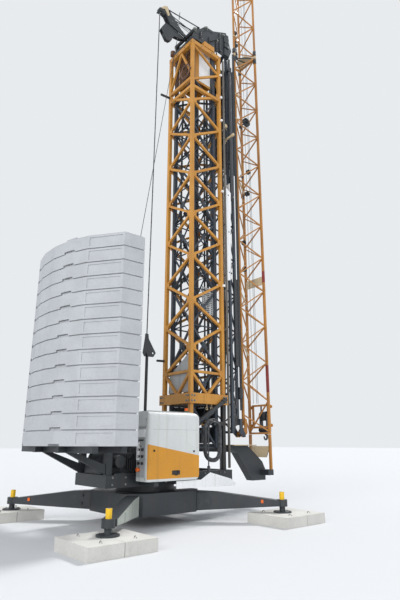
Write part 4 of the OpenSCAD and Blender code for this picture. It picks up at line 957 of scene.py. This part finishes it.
lugs = bmesh.new()
reflectors = bmesh.new()
for k in range(4):
    angle = math.radians(45 + 90 * k)
    for side in (RIGHT, LEFT):
        if (k, side) == (2, LEFT):
            continue
        slab(lugs, [along_leg(angle, run, side * 0.1205, z) for run, z in
                    [(1.10, 0.25), (1.42, 0.29), (1.46, 0.45), (1.38, 0.58), (1.10, 0.60)]], along_leg(angle, 0, side * 0.018, 0))
        for run, z in ((1.36, 0.36), (1.34, 0.52), (1.18, 0.42)):
            bolt(lugs, along_leg(angle, run, side * 0.1385, z), along_leg(angle, 0, side, 0), 0.026)
        slab(reflectors, [along_leg(angle, run, side * 0.127, z) for run, z in
                          [(2.52, 0.39), (2.57, 0.39), (2.57, 0.455), (2.52, 0.455)]], along_leg(angle, 0, side * 0.006, 0))
    foot = along_leg(angle, leg_tip, 0, 0)
    for j in range(6):
        a = math.tau * j / 6
        bolt(lugs, (foot.x + 0.15 * math.cos(a), foot.y + 0.15 * math.sin(a), 0.2245), (0, 0, 1), 0.010)
    torus(lugs, (foot.x, foot.y, 0.31), (0, 0, 1), 0.048, 0.012)
close("outrigger_lugs", lugs, charcoal, "undercarriage")
close("outrigger_reflectors", reflectors, signal_orange, "undercarriage")

threads = bmesh.new()
for k in range(4):
    foot = along_leg(math.radians(45 + 90 * k), leg_tip, 0, 0)
    for j in range(4):
        torus(threads, (foot.x, foot.y, 0.300 + j * 0.006), (0, 0, 1), 0.0345, 0.0022, 20, 5)
    torus(threads, (foot.x, foot.y, 0.602), (0, 0, 1), 0.026, 0.007)
close("spindle_threads", threads, zinc, "undercarriage")

loops = bmesh.new()
for sx in (-1, 1):
    for sy in (-1, 1):
        for k in (-1, 1):
            for end in (-1, 1):
                centre = (sx * 2.15 + k * 0.30, sy * 2.15 + end * 0.36, 0.196)
                torus(loops, centre, (1, 0, 0), 0.034, 0.007, 20, 6)
close("sleeper_loops", loops, zinc, "undercarriage")
print("outrigger ends, lugs, reflectors, threads and loops")

# %% [markdown]
# The studio is a wide pale floor, a pale sky and soft lamps. Sun lamps with a wide angle light a
# crane of this height evenly, which area lamps close by would not. The world is bright only for
# the camera and for reflections, so the background stays pale without washing out the paint.

# %% Studio
floor_mesh = bpy.data.meshes.new("studio_floor")
plan = bmesh.new()
bmesh.ops.create_grid(plan, x_segments=2, y_segments=2, size=160)
plan.to_mesh(floor_mesh)
plan.free()
floor = bpy.data.objects.new("studio_floor", floor_mesh)
bpy.context.scene.collection.objects.link(floor)
floor_paint = Finish("studio_floor", Base_Color=srgb(206, 207, 208), Roughness=0.9)
dress(floor, floor_paint.material)

world = bpy.data.worlds.new("studio")
bpy.context.scene.world = world
world.use_nodes = True
sky = world.node_tree
for old in list(sky.nodes):
    sky.nodes.remove(old)
rays = sky.nodes.new("ShaderNodeLightPath")
seen = Value(sky, rays.outputs["Is Camera Ray"]).most(Value(sky, rays.outputs["Is Glossy Ray"]))
seen = seen.most(Value(sky, rays.outputs["Is Transmission Ray"]))
blend = sky.nodes.new("ShaderNodeMixShader")
ambient = sky.nodes.new("ShaderNodeBackground")
ambient.inputs["Color"].default_value = (0.86, 0.92, 1.0, 1)
ambient.inputs["Strength"].default_value = 0.62
backdrop = sky.nodes.new("ShaderNodeBackground")
backdrop.inputs["Color"].default_value = srgb(232, 235, 238)
plug(sky, blend.inputs[0], seen)
sky.links.new(ambient.outputs[0], blend.inputs[1])
sky.links.new(backdrop.outputs[0], blend.inputs[2])
sky.links.new(blend.outputs[0], sky.nodes.new("ShaderNodeOutputWorld").inputs["Surface"])

for name, strength, spread, toward in [
    ("key", 2.3, 12, (-0.62, -0.12, -0.75)),
    ("fill", 1.5, 40, (0.80, 0.30, -0.45)),
    ("side", 0.7, 60, (0.1, 0.9, -0.35)),
]:
    lamp = bpy.data.objects.new(name, bpy.data.lights.new(name, "SUN"))
    lamp.data.energy = strength
    lamp.data.angle = math.radians(spread)
    lamp.rotation_euler = Vector(toward).to_track_quat("-Z", "Y").to_euler()
    bpy.context.scene.collection.objects.link(lamp)
